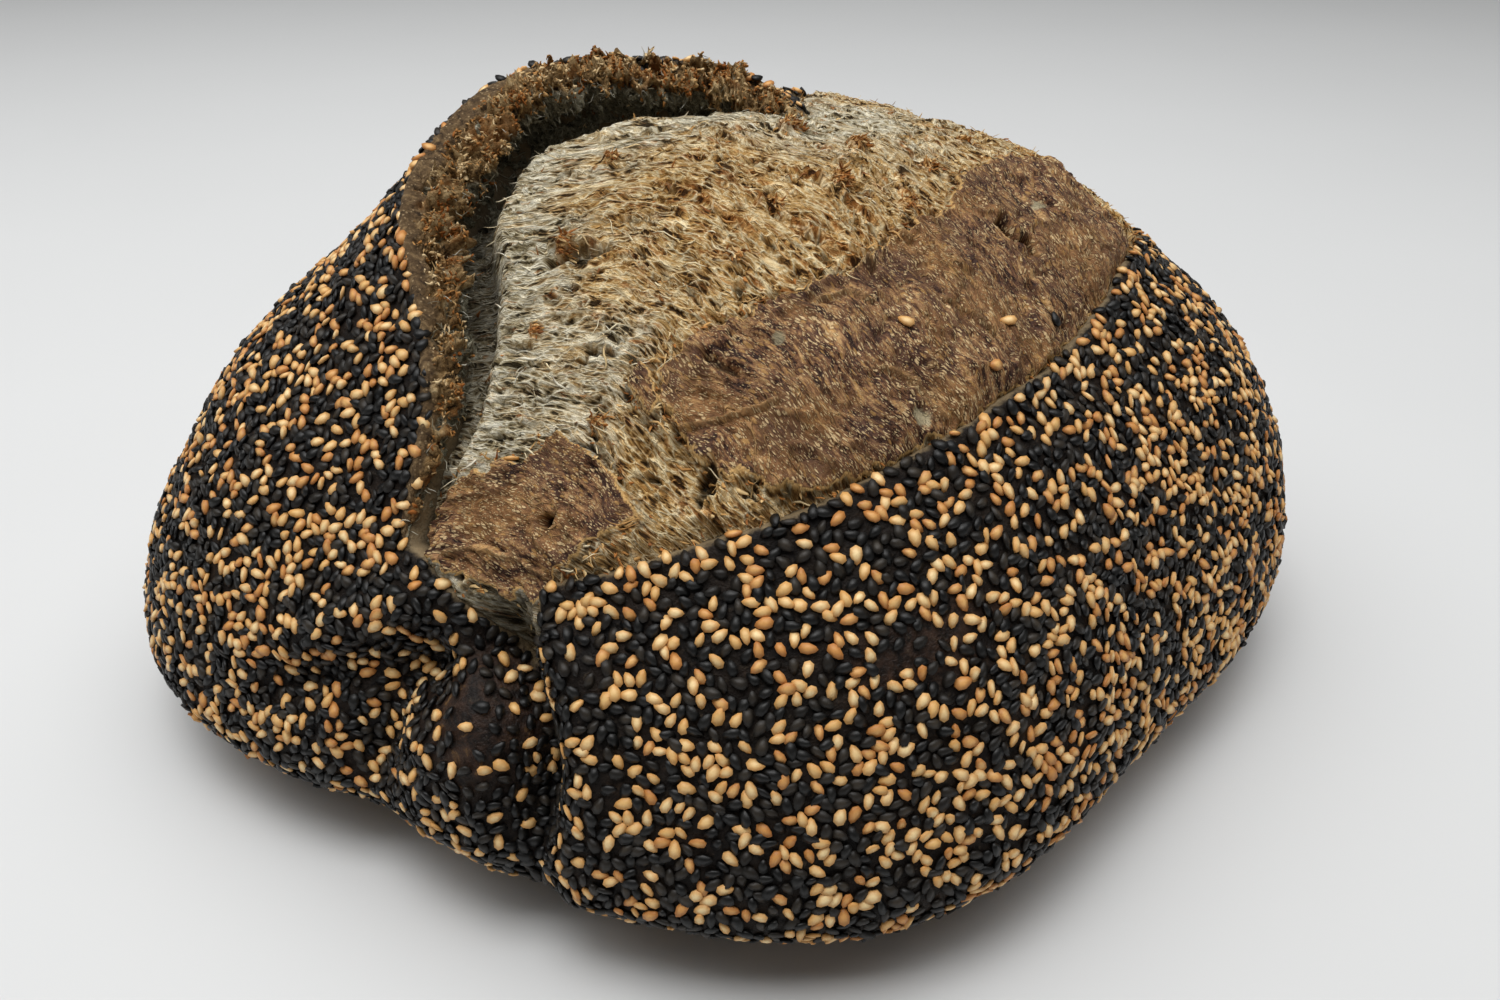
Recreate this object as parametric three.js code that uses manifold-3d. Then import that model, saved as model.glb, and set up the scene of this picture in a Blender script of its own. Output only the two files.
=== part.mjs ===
// A seeded sourdough loaf, one solid, in millimetres: +Z up, standing on z = 0.
// A domed round with a leaning crown. The crust has burst along one curved slash: the crumb has
// bloomed out of it, and the slash's left side stands up as an ear that curls round the back.
// Below the slash the crust is folded in front, beside a deep groove.
import * as THREE from 'three';
import { mergeVertices } from 'three/addons/utils/BufferGeometryUtils.js';
import Module from 'manifold-3d';

// The round of the loaf
const longHalf = 128.5;        // plan oval, half its length
const shortHalf = 113.5;       // plan oval, half its width
const ovalTurn = 0.535;        // radians from +X to the oval's long axis
const crownHeight = 127.5;
const girthHeight = 25.2;      // where the loaf is widest
const flankPower = 1.187;      // above 1, the flanks run straighter up to the crown
const heelPower = 0.56;        // below 1, the heel turns in late and leaves a broad foot
const heelDrop = 0.9;
const footTrim = 0.8;          // taken off the heel's lowest part, so that it stands flat
const leanRight = 4.4;         // how far the crown leans, over the loaf's height
const leanBack = 22.8;
const threeSided = { cosine: -0.0375, sine: 0.0144 };
const fourSided = { cosine: -0.0066, sine: -0.0785 };
const backRounding = 0.85;     // how much of the four-sided form the back has lost
const backSwell = { share: 0.09, turn: 2.42, width: 0.5 };
const centreShift = { x: 3.3, y: -2.0 };   // brings the whole loaf's box centre to the origin

// The ear: points of its foot in plan, from the front round to the back, and its rise there
const earLine = [
  { x: -60, y: -76, rise: 0.6 },
  { x: -55, y: -58.5, rise: 5.0 },
  { x: -58, y: -41, rise: 7.2 },
  { x: -62.5, y: -23, rise: 9.5 },
  { x: -60, y: -2.5, rise: 10.5 },
  { x: -50, y: 14, rise: 13.8 },
  { x: -36, y: 22.5, rise: 14.4 },
  { x: -18, y: 27.5, rise: 12.0 },
  { x: -2, y: 29, rise: 9.5 },
  { x: 9, y: 27, rise: 5.0 },
  { x: 16, y: 23.5, rise: 0.8 },
];
const earSteps = 26;
const earFullRise = 8;         // an ear lower than this is thinner in proportion
const earRampPower = 1.8;
const earRampWidth = 34;       // how far out the crust starts to lift
const earLipWidth = 4.6;
const earLipFall = 2.5;
const earFringeReach = 9;
const earFringeFall = 6;
const earFootDepth = 6;        // how deep the ear is rooted in the round
const gapDepth = 9.5;          // the torn gap under the ear
const gapWidth = 16;
const gapStart = 1.5;          // from the crest to the gap's near wall
const gapOpening = 12;         // height over the crust up to which the gap is cut clear

// The slash's right side, from the front round to the back
const crustEdge = [
  [-33, -90], [-16, -92], [6, -90], [21.5, -84], [37.5, -73.5], [48, -63.5],
  [60, -50.5], [70, -36], [77, -25], [89.5, -1], [95.5, 11], [98, 27],
  [94, 43], [85, 57], [70, 69], [52, 76], [34, 77], [20, 70], [13, 57],
  [12, 43], [15, 31],
];
const crustStep = 2.6;         // how far the crumb lies below the crust's edge
const crustStepWidth = 13;     // from the edge to where the crumb is up again
const crustStepFade = 0.12;    // share of the edge over which the step dies out at each end
const crustStepLeast = 0.1;    // share of its depth that the step keeps at its ends
const crustStepOpening = 5;    // height over the crust up to which the step is cut clear
const edgeSteps = 40;

// Two pieces of torn skin that the bloom carries, as plan ellipses
const skinPieces = [
  { x: 40, y: -39, length: 52, width: 25, turn: 0.84, thickness: 1.4 },
  { x: -33, y: -79, length: 25, width: 11, turn: -0.15, thickness: 1.2 },
];

// Broad hollows and swells of the round: centre, reach along X, Y and Z, and height
const swells = [
  { at: [14, 27, 122], reach: [38, 28, 60], height: -7.5 },     // the crown has sunk behind
  { at: [100, 16, 92], reach: [20, 26, 22], height: -2.5 },     // right end of the slash
  { at: [-73, -89, 14], reach: [24, 22, 16], height: -1.5 },    // heel below the folds
  { at: [-46, -100, 40], reach: [15, 16, 19], height: 4.0 },    // knuckle between the folds
  { at: [-122, -6, 60], reach: [24, 26, 14], height: -3.0 },    // left flank
  { at: [76, -86, 10], reach: [28, 28, 14], height: -1.2 },     // heel at the right
];

// Folds of the crust in front: lines on the flank, half width and height
const foldTop = 102.5;         // the folds stay below this height
const foldReach = 2.2;         // half widths from a fold's line within which the mesh is finer
const folds = [
  { line: [[-94, -76, 40], [-77, -81, 50], [-57, -83, 61], [-45, -87, 64]], width: 7, height: 2.5 },
  { line: [[-94, -78, 35], [-78, -83, 44], [-63, -87, 50], [-46, -92, 57]], width: 5, height: -5 },
  { line: [[-47, -92, 56], [-57, -91, 50], [-64, -91, 43], [-69, -93, 30], [-71, -91, 18]],
    width: 6.5, height: -6.5 },
  { line: [[-39, -88, 67], [-40, -93, 59], [-36, -104, 50], [-35, -108, 40], [-37, -110, 18]],
    width: 5, height: -13 },
  { line: [[-29, -93, 66], [-27, -98, 59], [-25, -106, 49], [-24, -110, 38], [-26, -112, 18]],
    width: 6.5, height: 2.2 },
];

// Crags of the bloomed crumb: two crossed waves
const cragHeight = 0.9;
const cragWave = 11;
const cragShortShare = 0.6;    // height and length of the second wave, as a share of the first's

// Sesame seeds
const seedCount = 150;
const seedTries = 2600;        // even points over the whole round, of which the crust takes some
const seedGap = 18;            // least distance between two seeds
const seedLength = { least: 2.6, most: 3.3 };
const seedWidthShare = 0.6;
const seedThicknessShare = 0.36;
const seedPoint = 0.45;        // how much narrower the tip is than the butt
const seedSink = 0.32;         // share of the thickness that the crust holds
const seedLowest = 7;          // no seed nearer the table than this
const seedEdgeGap = 3;         // nor nearer the slash's edge than this
const seedStride = 977;        // order in which the even points are taken
const drawSeed = 20817;

const roundDetail = 8;
const clearOfLoaf = 30;        // a distance over the crust that is outside everything on it
const footFlat = { fold: 8, relief: 5 };   // heights below which folds and relief die out
const slopeStep = 0.002;       // radians between the points that a normal is taken from
const goldenTurn = Math.PI * (3 - Math.sqrt(5));

const wasm = await Module();
wasm.setup();

const smooth = (from, to, value) => THREE.MathUtils.smoothstep(value, from, to);

// ---- The bare round

function planReach(turn) {
  const t = turn - ovalTurn;
  const oval = 1 / Math.hypot(Math.cos(t) / longHalf, Math.sin(t) / shortHalf);
  const three = 1 + threeSided.cosine * Math.cos(3 * t) + threeSided.sine * Math.sin(3 * t);
  const kept = 1 - backRounding * smooth(0, 0.7, Math.sin(turn));
  const four = 1 + kept * (fourSided.cosine * Math.cos(4 * t) + fourSided.sine * Math.sin(4 * t));
  const off = THREE.MathUtils.euclideanModulo(turn - backSwell.turn + Math.PI, 2 * Math.PI) - Math.PI;
  const swell = 1 + backSwell.share * Math.exp(-((off / backSwell.width) ** 2));
  return oval * three * four * swell;
}

// Point of the round at an angle about Z (turn) and an angle up from its girth (climb)
function roundPoint(turn, climb) {
  const rise = Math.sin(climb);
  const level = climb > 0
    ? girthHeight + (crownHeight - girthHeight) * rise
    : girthHeight * (1 - Math.pow(-rise, heelDrop));
  const power = climb > 0 ? flankPower : heelPower;
  const reach = planReach(turn) * Math.pow(Math.abs(Math.cos(climb)), power);
  const lean = (level - girthHeight) / crownHeight;
  const trimmed = Math.max(0, level - footTrim) * girthHeight / (girthHeight - footTrim);
  return new THREE.Vector3(
    reach * Math.cos(turn) + leanRight * lean + centreShift.x,
    reach * Math.sin(turn) + leanBack * lean + centreShift.y,
    climb > 0 ? level : trimmed,
  );
}

function roundNormal(turn, climb) {
  const bounded = Math.min(climb, Math.PI / 2 - 2 * slopeStep);
  const along = roundPoint(turn + slopeStep, bounded).sub(roundPoint(turn - slopeStep, bounded));
  const up = roundPoint(turn, bounded + slopeStep).sub(roundPoint(turn, bounded - slopeStep));
  return along.cross(up).normalize();
}

// Angles of the point of the upper round that lies over a plan position
function anglesOver(x, y) {
  let level = crownHeight;
  let turn = 0;
  let climb = 0;
  for (let pass = 0; pass < 40; pass += 1) {
    const lean = (level - girthHeight) / crownHeight;
    const east = x - centreShift.x - leanRight * lean;
    const north = y - centreShift.y - leanBack * lean;
    turn = Math.atan2(north, east);
    const share = Math.min(1, Math.hypot(east, north) / planReach(turn));
    climb = Math.acos(Math.pow(share, 1 / flankPower));
    level = girthHeight + (crownHeight - girthHeight) * Math.sin(climb);
  }
  return { turn, climb };
}

function pointOver(x, y) {
  const { turn, climb } = anglesOver(x, y);
  return roundPoint(turn, climb);
}

// ---- Lines on the crust

const earCurve = new THREE.CatmullRomCurve3(earLine.map((p) => new THREE.Vector3(p.x, p.y, p.rise)));
const earPath = earCurve.getSpacedPoints(earSteps);
const edgeCurve = new THREE.CatmullRomCurve3(crustEdge.map(([x, y]) => new THREE.Vector3(x, y, 0)));
const edgePath = edgeCurve.getSpacedPoints(edgeSteps).map((p) => pointOver(p.x, p.y));
const bloomOutline = [...earPath, ...[...edgePath].reverse()];

const foldPaths = folds.map((fold) => {
  const curve = new THREE.CatmullRomCurve3(fold.line.map((p) => new THREE.Vector3(...p)));
  return { path: curve.getPoints(4 * fold.line.length), width: fold.width, height: fold.height };
});

// Shortest distance from a point to a line of points, and how near it is to the line's ends
function distanceTo(path, point) {
  const segment = new THREE.Line3();
  const nearest = new THREE.Vector3();
  let best = Infinity;
  let place = 0;
  for (let i = 0; i + 1 < path.length; i += 1) {
    segment.set(path[i], path[i + 1]);
    const share = segment.closestPointToPointParameter(point, true);
    const distance = segment.at(share, nearest).distanceTo(point);
    if (distance < best) {
      best = distance;
      place = (i + share) / (path.length - 1);
    }
  }
  return { distance: best, place };
}

function isBloom(point) {
  let inside = false;
  for (let i = 0, j = bloomOutline.length - 1; i < bloomOutline.length; j = i, i += 1) {
    const a = bloomOutline[i];
    const b = bloomOutline[j];
    const crosses = (a.y > point.y) !== (b.y > point.y);
    if (crosses && point.x < (b.x - a.x) * (point.y - a.y) / (b.y - a.y) + a.x) {
      inside = !inside;
    }
  }
  return inside && point.z > girthHeight;
}

// ---- Relief, as a height along the round's normal

function swellHeight(point) {
  let height = 0;
  for (const swell of swells) {
    const [x, y, z] = swell.at;
    const [wide, deep, high] = swell.reach;
    const far = ((point.x - x) / wide) ** 2 + ((point.y - y) / deep) ** 2 + ((point.z - z) / high) ** 2;
    height += swell.height * Math.exp(-far);
  }
  return height;
}

function foldHeight(point) {
  let height = 0;
  for (const fold of foldPaths) {
    const { distance, place } = distanceTo(fold.path, point);
    const taper = (0.25 + 0.75 * smooth(0, 0.25, place)) * (1 - 0.7 * smooth(0.7, 1, place));
    height += fold.height * taper * Math.exp(-((distance / fold.width) ** 2));
  }
  return height;
}

function skinHeight(point) {
  let height = 0;
  for (const piece of skinPieces) {
    const east = point.x - piece.x;
    const north = point.y - piece.y;
    const along = (east * Math.cos(piece.turn) + north * Math.sin(piece.turn)) / piece.length;
    const across = (north * Math.cos(piece.turn) - east * Math.sin(piece.turn)) / piece.width;
    height += piece.thickness * (1 - smooth(0.85, 1.1, Math.hypot(along, across)));
  }
  return height;
}

function cragRelief(point) {
  const { x, y, z } = point;
  const long = Math.sin((x + 0.4 * y) / cragWave) * Math.sin((y - 0.3 * x + z) / (cragShortShare * cragWave));
  const short = Math.sin((1.9 * x - y) / cragWave + 1) * Math.sin((2.3 * y + x) / cragWave + 2);
  return cragHeight * (long + cragShortShare * short);
}

function relief(point) {
  let height = swellHeight(point);
  if (point.z < foldTop) {
    height += foldHeight(point) * smooth(0, footFlat.fold, point.z);
  }
  if (isBloom(point)) {
    const edge = distanceTo(edgePath, point).distance;
    height += skinHeight(point) + cragRelief(point) * smooth(0, crustStepWidth, edge);
  }
  return height * smooth(0, footFlat.relief, point.z);
}

function crustPoint(turn, climb) {
  const point = roundPoint(turn, climb);
  return point.addScaledVector(roundNormal(turn, climb), relief(point));
}

// ---- Making closed meshes

function bare(geometry) {
  geometry.deleteAttribute('normal');
  geometry.deleteAttribute('uv');
  return mergeVertices(geometry);
}

function toSolid(geometry) {
  const mesh = new wasm.Mesh({
    numProp: 3,
    vertProperties: new Float32Array(geometry.getAttribute('position').array),
    triVerts: new Uint32Array(geometry.index.array),
  });
  return new wasm.Manifold(mesh);
}

function toGeometry(solid) {
  const mesh = solid.getMesh();
  const geometry = new THREE.BufferGeometry();
  geometry.setAttribute('position', new THREE.BufferAttribute(new Float32Array(mesh.vertProperties), 3));
  geometry.setIndex(new THREE.BufferAttribute(new Uint32Array(mesh.triVerts), 1));
  geometry.computeVertexNormals();
  return geometry;
}

// Splits each edge that `wanted` picks at its middle, and the triangles beside it to suit
function refine(geometry, wanted) {
  const place = geometry.getAttribute('position');
  const points = [];
  for (let i = 0; i < place.count; i += 1) {
    points.push(new THREE.Vector3().fromBufferAttribute(place, i).normalize());
  }
  const chosen = points.map(wanted);
  const middles = new Map();
  const middle = (a, b) => {
    if (!chosen[a] || !chosen[b]) {
      return -1;
    }
    const key = Math.min(a, b) * place.count + Math.max(a, b);
    if (!middles.has(key)) {
      middles.set(key, points.push(points[a].clone().add(points[b]).normalize()) - 1);
    }
    return middles.get(key);
  };
  const faces = [];
  for (let i = 0; i < geometry.index.count; i += 3) {
    let corners = [0, 1, 2].map((k) => geometry.index.getX(i + k));
    let halves = corners.map((corner, k) => middle(corner, corners[(k + 1) % 3]));
    const split = halves.filter((half) => half >= 0).length;
    while ((split === 1 && halves[0] < 0) || (split === 2 && halves[2] >= 0)) {
      corners = [corners[1], corners[2], corners[0]];
      halves = [halves[1], halves[2], halves[0]];
    }
    const [a, b, c] = corners;
    const [ab, bc, ca] = halves;
    if (split === 0) {
      faces.push(a, b, c);
    } else if (split === 1) {
      faces.push(a, ab, c, ab, b, c);
    } else if (split === 2) {
      faces.push(ab, b, bc, a, ab, bc, a, bc, c);
    } else {
      faces.push(a, ab, ca, ab, b, bc, ca, bc, c, ab, bc, ca);
    }
  }
  const finer = new THREE.BufferGeometry().setFromPoints(points);
  finer.setIndex(faces);
  return finer;
}

const turnOf = (direction) => Math.atan2(direction.y, direction.x);
const climbOf = (direction) => Math.asin(THREE.MathUtils.clamp(direction.z, -1, 1));
const onRound = (direction) => roundPoint(turnOf(direction), climbOf(direction));

function isNearFold(point) {
  return foldPaths.some((fold) => distanceTo(fold.path, point).distance < foldReach * fold.width);
}

function makeRound() {
  let ball = bare(new THREE.IcosahedronGeometry(1, roundDetail));
  ball = refine(ball, (direction) => {
    const point = onRound(direction);
    return isBloom(point) || isNearFold(point);
  });
  ball = refine(ball, (direction) => isNearFold(onRound(direction)));
  const place = ball.getAttribute('position');
  const direction = new THREE.Vector3();
  for (let i = 0; i < place.count; i += 1) {
    direction.fromBufferAttribute(place, i).normalize();
    place.setXYZ(i, ...crustPoint(turnOf(direction), climbOf(direction)));
  }
  return toSolid(ball);
}

// A closed body through rings of points: a drum whose sides are moved onto the rings
function loft(rings) {
  const sides = rings[0].length;
  const drum = bare(new THREE.CylinderGeometry(1, 1, 1, sides, rings.length - 1));
  const place = drum.getAttribute('position');
  const corner = new THREE.Vector3();
  for (let i = 0; i < place.count; i += 1) {
    corner.fromBufferAttribute(place, i);
    const ring = rings[Math.round((0.5 - corner.y) * (rings.length - 1))];
    const side = Math.round(Math.atan2(corner.x, corner.z) / (2 * Math.PI) * sides);
    if (Math.hypot(corner.x, corner.z) < 0.5) {
      corner.set(0, 0, 0);
      ring.forEach((point) => corner.addScaledVector(point, 1 / sides));
    } else {
      corner.copy(ring[(sides - side) % sides]);
    }
    place.setXYZ(i, ...corner);
  }
  return toSolid(drum);
}

// ---- The ear, the gap under it and the step at the slash's right side

// A section set at each step of a line on the crust. The line's points hold a size in z, and a
// section's points hold a distance to the line's right and a height over the crust.
function ringsAlong(line, section) {
  return line.map((here, i) => {
    const before = line[Math.max(0, i - 1)];
    const after = line[Math.min(line.length - 1, i + 1)];
    const across = new THREE.Vector2(after.y - before.y, before.x - after.x).normalize();
    const { turn, climb } = anglesOver(here.x, here.y);
    const foot = roundPoint(turn, climb);
    const ahead = pointOver(here.x + across.x, here.y + across.y).distanceTo(foot);
    return section(here.z).map(([aside, height]) => {
      const x = here.x + across.x * aside / ahead;
      const y = here.y + across.y * aside / ahead;
      const angles = anglesOver(x, y);
      const lift = height + swellHeight(foot);
      return roundPoint(angles.turn, angles.climb)
        .addScaledVector(roundNormal(angles.turn, angles.climb), lift);
    });
  });
}

function earSection(rise) {
  const size = Math.min(1, rise / earFullRise);
  const width = earRampWidth * (0.3 + 0.7 * size);
  const ramp = (share) => rise * Math.pow(1 - share, earRampPower);
  return [
    [-width, -0.25 * earFootDepth],
    [-0.5 * width, ramp(0.5)],
    [-0.2 * width, ramp(0.2)],
    [0, rise],
    [earLipWidth * size, rise - earLipFall * size],
    [earFringeReach * size, rise - earFringeFall * size],
    [0.4 * earLipWidth * size, -0.5 * earFootDepth],
    [-0.3 * width, -earFootDepth],
    [-0.8 * width, -0.8 * earFootDepth],
  ];
}

function gapSection(rise) {
  const size = Math.min(1, rise / earFullRise);
  return [
    [gapStart * size, gapOpening],
    [gapWidth * size, gapOpening],
    [gapWidth * size, 0.5],
    [0.65 * gapWidth * size, -gapDepth * size],
    [0.3 * gapWidth * size, -gapDepth * size],
    [gapStart * size, -0.3 * gapDepth * size],
  ];
}

function stepSection(depth) {
  const width = crustStepWidth * depth / crustStep;
  return [
    [-0.5, crustStepOpening],
    [width, crustStepOpening],
    [width, 0.5],
    [0.4 * width, -0.8 * depth],
    [0.08 * width, -depth],
  ];
}

const stepLine = edgeCurve.getSpacedPoints(edgeSteps).reverse().map((p, i) => {
  const share = i / edgeSteps;
  const fade = smooth(0, crustStepFade, share) * smooth(0, crustStepFade, 1 - share);
  return new THREE.Vector3(p.x, p.y, crustStep * THREE.MathUtils.lerp(crustStepLeast, 1, fade));
});

// ---- Seeds

let drawState = drawSeed;
function draw() {
  drawState = (drawState * 48271) % 2147483647;
  return drawState / 2147483647;
}

// A flat drop lying on its side, its butt at -X
function makeSeed(length) {
  const seed = bare(new THREE.SphereGeometry(1, 6, 3));
  seed.rotateX(Math.PI / 2);
  const place = seed.getAttribute('position');
  const full = 1 / Math.cos(Math.PI / 6);   // a ball of three rows is this much too narrow
  for (let i = 0; i < place.count; i += 1) {
    const along = full * place.getX(i);
    const taper = 1 - seedPoint * (0.5 + 0.5 * along);
    place.setXYZ(i,
      along * length / 2,
      full * place.getY(i) * taper * length * seedWidthShare / (2 - seedPoint),
      place.getZ(i) * length * seedThicknessShare / 2);
  }
  return seed;
}

// Places for the seeds, even over the crust: the golden turn round the loaf, then a least gap
function seedPlaces(crust) {
  const ray = new THREE.Raycaster();
  const places = [];
  for (let i = 0; i < seedTries && places.length < seedCount; i += 1) {
    const step = (i * seedStride) % seedTries;
    const climb = Math.asin(1 - 2 * (step + 0.5) / seedTries);
    const turn = step * goldenTurn;
    const point = roundPoint(turn, climb);
    const outward = roundNormal(turn, climb);
    const isCrust = point.z > seedLowest && !isBloom(point)
      && distanceTo(edgePath, point).distance > seedEdgeGap;
    if (isCrust && places.every((other) => other.round.distanceTo(point) > seedGap)) {
      ray.set(point.clone().addScaledVector(outward, clearOfLoaf), outward.clone().negate());
      const hit = ray.intersectObject(crust)[0];
      places.push({ round: point, on: hit.point, normal: hit.face.normal });
    }
  }
  return places;
}

function sowSeeds(loaf) {
  const crust = new THREE.Mesh(toGeometry(loaf));
  const lengths = Array.from({ length: seedCount }, () => (
    THREE.MathUtils.lerp(seedLength.least, seedLength.most, draw())));
  lengths.sort((a, b) => b - a);
  let seeded = loaf;
  seedPlaces(crust).forEach((place, i) => {
    const lift = (0.5 - seedSink) * lengths[i] * seedThicknessShare;
    const lie = new THREE.Quaternion().setFromUnitVectors(new THREE.Vector3(0, 0, 1), place.normal);
    lie.multiply(new THREE.Quaternion().setFromAxisAngle(new THREE.Vector3(0, 0, 1), 2 * Math.PI * draw()));
    const seed = makeSeed(lengths[i]);
    seed.applyQuaternion(lie);
    seed.translate(...place.on.addScaledVector(place.normal, lift));
    seeded = seeded.add(toSolid(seed));
  });
  return seeded;
}

// ---- The loaf

const stepped = makeRound().subtract(loft(ringsAlong(stepLine, stepSection)));
const torn = stepped.subtract(loft(ringsAlong(earPath, gapSection)));
const eared = torn.add(loft(ringsAlong(earPath, earSection)));
const loafSolid = sowSeeds(eared);

const crustMaterial = new THREE.MeshStandardMaterial({ color: 0x4a3a28, roughness: 0.75, metalness: 0 });
const loaf = new THREE.Mesh(toGeometry(loafSolid), crustMaterial);
loaf.name = 'loaf';

const group = new THREE.Group();
group.add(loaf);

export default group;
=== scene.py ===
# Seeded sourdough loaf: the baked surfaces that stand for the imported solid.
# Shapes are worked out in millimetres and put into the meshes in metres.
import math
import bmesh
import bpy
import numpy as np
from mathutils import Matrix, noise
from mathutils.bvhtree import BVHTree


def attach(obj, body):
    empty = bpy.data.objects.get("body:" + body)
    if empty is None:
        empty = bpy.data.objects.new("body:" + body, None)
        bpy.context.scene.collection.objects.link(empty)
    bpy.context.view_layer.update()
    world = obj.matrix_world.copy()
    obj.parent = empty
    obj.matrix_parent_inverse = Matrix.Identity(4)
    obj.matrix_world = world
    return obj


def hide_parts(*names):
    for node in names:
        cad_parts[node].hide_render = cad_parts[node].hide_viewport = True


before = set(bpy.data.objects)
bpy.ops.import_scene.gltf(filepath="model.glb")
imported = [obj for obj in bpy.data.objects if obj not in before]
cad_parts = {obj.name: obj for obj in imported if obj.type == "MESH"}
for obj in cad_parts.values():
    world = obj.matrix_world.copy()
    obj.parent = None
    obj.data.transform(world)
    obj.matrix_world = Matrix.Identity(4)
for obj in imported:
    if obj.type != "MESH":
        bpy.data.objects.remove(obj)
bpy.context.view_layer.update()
draws = np.random.default_rng(20817)  # every random draw comes from here, in the script's order
mm = 0.001

loafForm = {
    "longHalf": 128.5, "shortHalf": 113.5, "ovalTurn": 0.535,
    "crownHeight": 127.5, "girthHeight": 25.2,
    "flankPower": 1.187, "heelPower": 0.56, "heelDrop": 0.9, "footTrim": 0.8,
    "leanRight": 4.4, "leanBack": 22.8,
    "threeSided": (-0.0375, 0.0144), "fourSided": (-0.0066, -0.0785), "backRounding": 0.85,
    "backSwell": 0.09, "backSwellTurn": 2.42, "backSwellWidth": 0.5,
    "centreShift": (3.3, -2.0),
}

# broad hollows and swells: centre, reach and height
loafSwells = [
    ((14, 27, 122), (38, 28, 60), -7.5),
    ((100, 16, 92), (20, 26, 22), -2.5),
    ((-73, -89, 14), (24, 22, 16), -1.5),
    ((-46, -100, 40), (15, 16, 19), 4.0),
    ((-122, -6, 60), (24, 26, 14), -3.0),
    ((76, -86, 10), (28, 28, 14), -1.2),
]

# folds of the crust in front: points on the flank, half width and height
loafFolds = [
    (((-94, -76, 40), (-77, -81, 50), (-57, -83, 61), (-45, -87, 64)), 7, 2.5),
    (((-94, -78, 35), (-78, -83, 44), (-63, -87, 50), (-46, -92, 57)), 5, -5),
    (((-47, -92, 56), (-57, -91, 50), (-64, -91, 43), (-69, -93, 30), (-71, -91, 18)), 6.5, -6.5),
    (((-39, -88, 67), (-40, -93, 59), (-36, -104, 50), (-35, -108, 40), (-37, -110, 18)), 5.0, -13),
    (((-29, -93, 66), (-27, -98, 59), (-25, -106, 49), (-24, -110, 38), (-26, -112, 18)), 6.5, 2.2),
]

# the ear's foot in plan, from the front round to the back, and its rise there
earLine = [
    (-60, -76, 0.6), (-55, -58.5, 5.0), (-58, -41, 7.2), (-62.5, -23, 9.5), (-60, -2.5, 10.5),
    (-50, 14, 13.8), (-36, 22.5, 14.4), (-18, 27.5, 12.0), (-2, 29, 9.5), (9, 27, 5.0), (16, 23.5, 0.8),
]

# the slash's right side in plan, from the front round to the back
crustEdge = [
    (-33, -90), (-16, -92), (6, -90), (21.5, -84), (37.5, -73.5), (48, -63.5),
    (60, -50.5), (70, -36), (77, -25), (89.5, -1), (95.5, 11), (98, 27), (94, 43),
    (85, 57), (70, 69), (52, 76), (34, 77), (20, 70), (13, 57), (12, 43), (15, 31),
]

# the tongue of crumb that runs from the slash's front end into the groove
frontTongue = [(-33.8, -93.5), (-35.5, -97), (-40, -96.5), (-44, -91.5), (-47.5, -87)]


def smoothStep(low, high, value):
    t = np.clip((value - low) / (high - low), 0, 1)
    return t * t * (3 - 2 * t)


def bell(value, width):
    return np.exp(-(value / width) ** 2)


def planReach(turn):
    form = loafForm
    t = turn - form["ovalTurn"]
    oval = 1 / np.hypot(np.cos(t) / form["longHalf"], np.sin(t) / form["shortHalf"])
    three = form["threeSided"][0] * np.cos(3 * t) + form["threeSided"][1] * np.sin(3 * t)
    four = form["fourSided"][0] * np.cos(4 * t) + form["fourSided"][1] * np.sin(4 * t)
    kept = 1 - form["backRounding"] * smoothStep(0, 0.7, np.sin(turn))
    off = (turn - form["backSwellTurn"] + math.pi) % (2 * math.pi) - math.pi
    swell = form["backSwell"] * bell(off, form["backSwellWidth"])
    return oval * (1 + three) * (1 + kept * four) * (1 + swell)


def roundPoint(turn, climb):
    # a point of the bare round, from its angle about Z and its angle up from the girth
    form = loafForm
    girth, crown = form["girthHeight"], form["crownHeight"]
    rise, flat, upper = np.sin(climb), np.abs(np.cos(climb)), climb > 0
    level = np.where(upper, girth + (crown - girth) * rise, girth * (1 - np.abs(rise) ** form["heelDrop"]))
    reach = planReach(turn) * np.where(upper, flat ** form["flankPower"], flat ** form["heelPower"])
    lean = (level - girth) / crown
    trimmed = np.clip(level - form["footTrim"], 0, None) * girth / (girth - form["footTrim"])
    return np.stack([
        reach * np.cos(turn) + form["leanRight"] * lean + form["centreShift"][0],
        reach * np.sin(turn) + form["leanBack"] * lean + form["centreShift"][1],
        np.where(upper, level, trimmed),
    ], -1)


def roundNormal(turn, climb):
    step = 0.002
    c = np.clip(climb, -math.pi / 2 + 2 * step, math.pi / 2 - 2 * step)
    along = roundPoint(turn + step, c) - roundPoint(turn - step, c)
    up = roundPoint(turn, c + step) - roundPoint(turn, c - step)
    return unit(np.cross(along, up))


def unit(vectors):
    return vectors / np.maximum(np.linalg.norm(vectors, axis=-1, keepdims=True), 1e-9)


def anglesOver(x, y):
    # angles of the point of the upper round that lies over a plan position
    form = loafForm
    girth, crown = form["girthHeight"], form["crownHeight"]
    level = np.full(np.shape(x), crown, float)
    for again in range(40):
        lean = (level - girth) / crown
        east = x - form["centreShift"][0] - form["leanRight"] * lean
        north = y - form["centreShift"][1] - form["leanBack"] * lean
        turn = np.arctan2(north, east)
        share = np.minimum(1, np.hypot(east, north) / planReach(turn))
        climb = np.arccos(share ** (1 / form["flankPower"]))
        level = girth + (crown - girth) * np.sin(climb)
    return turn, climb


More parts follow.
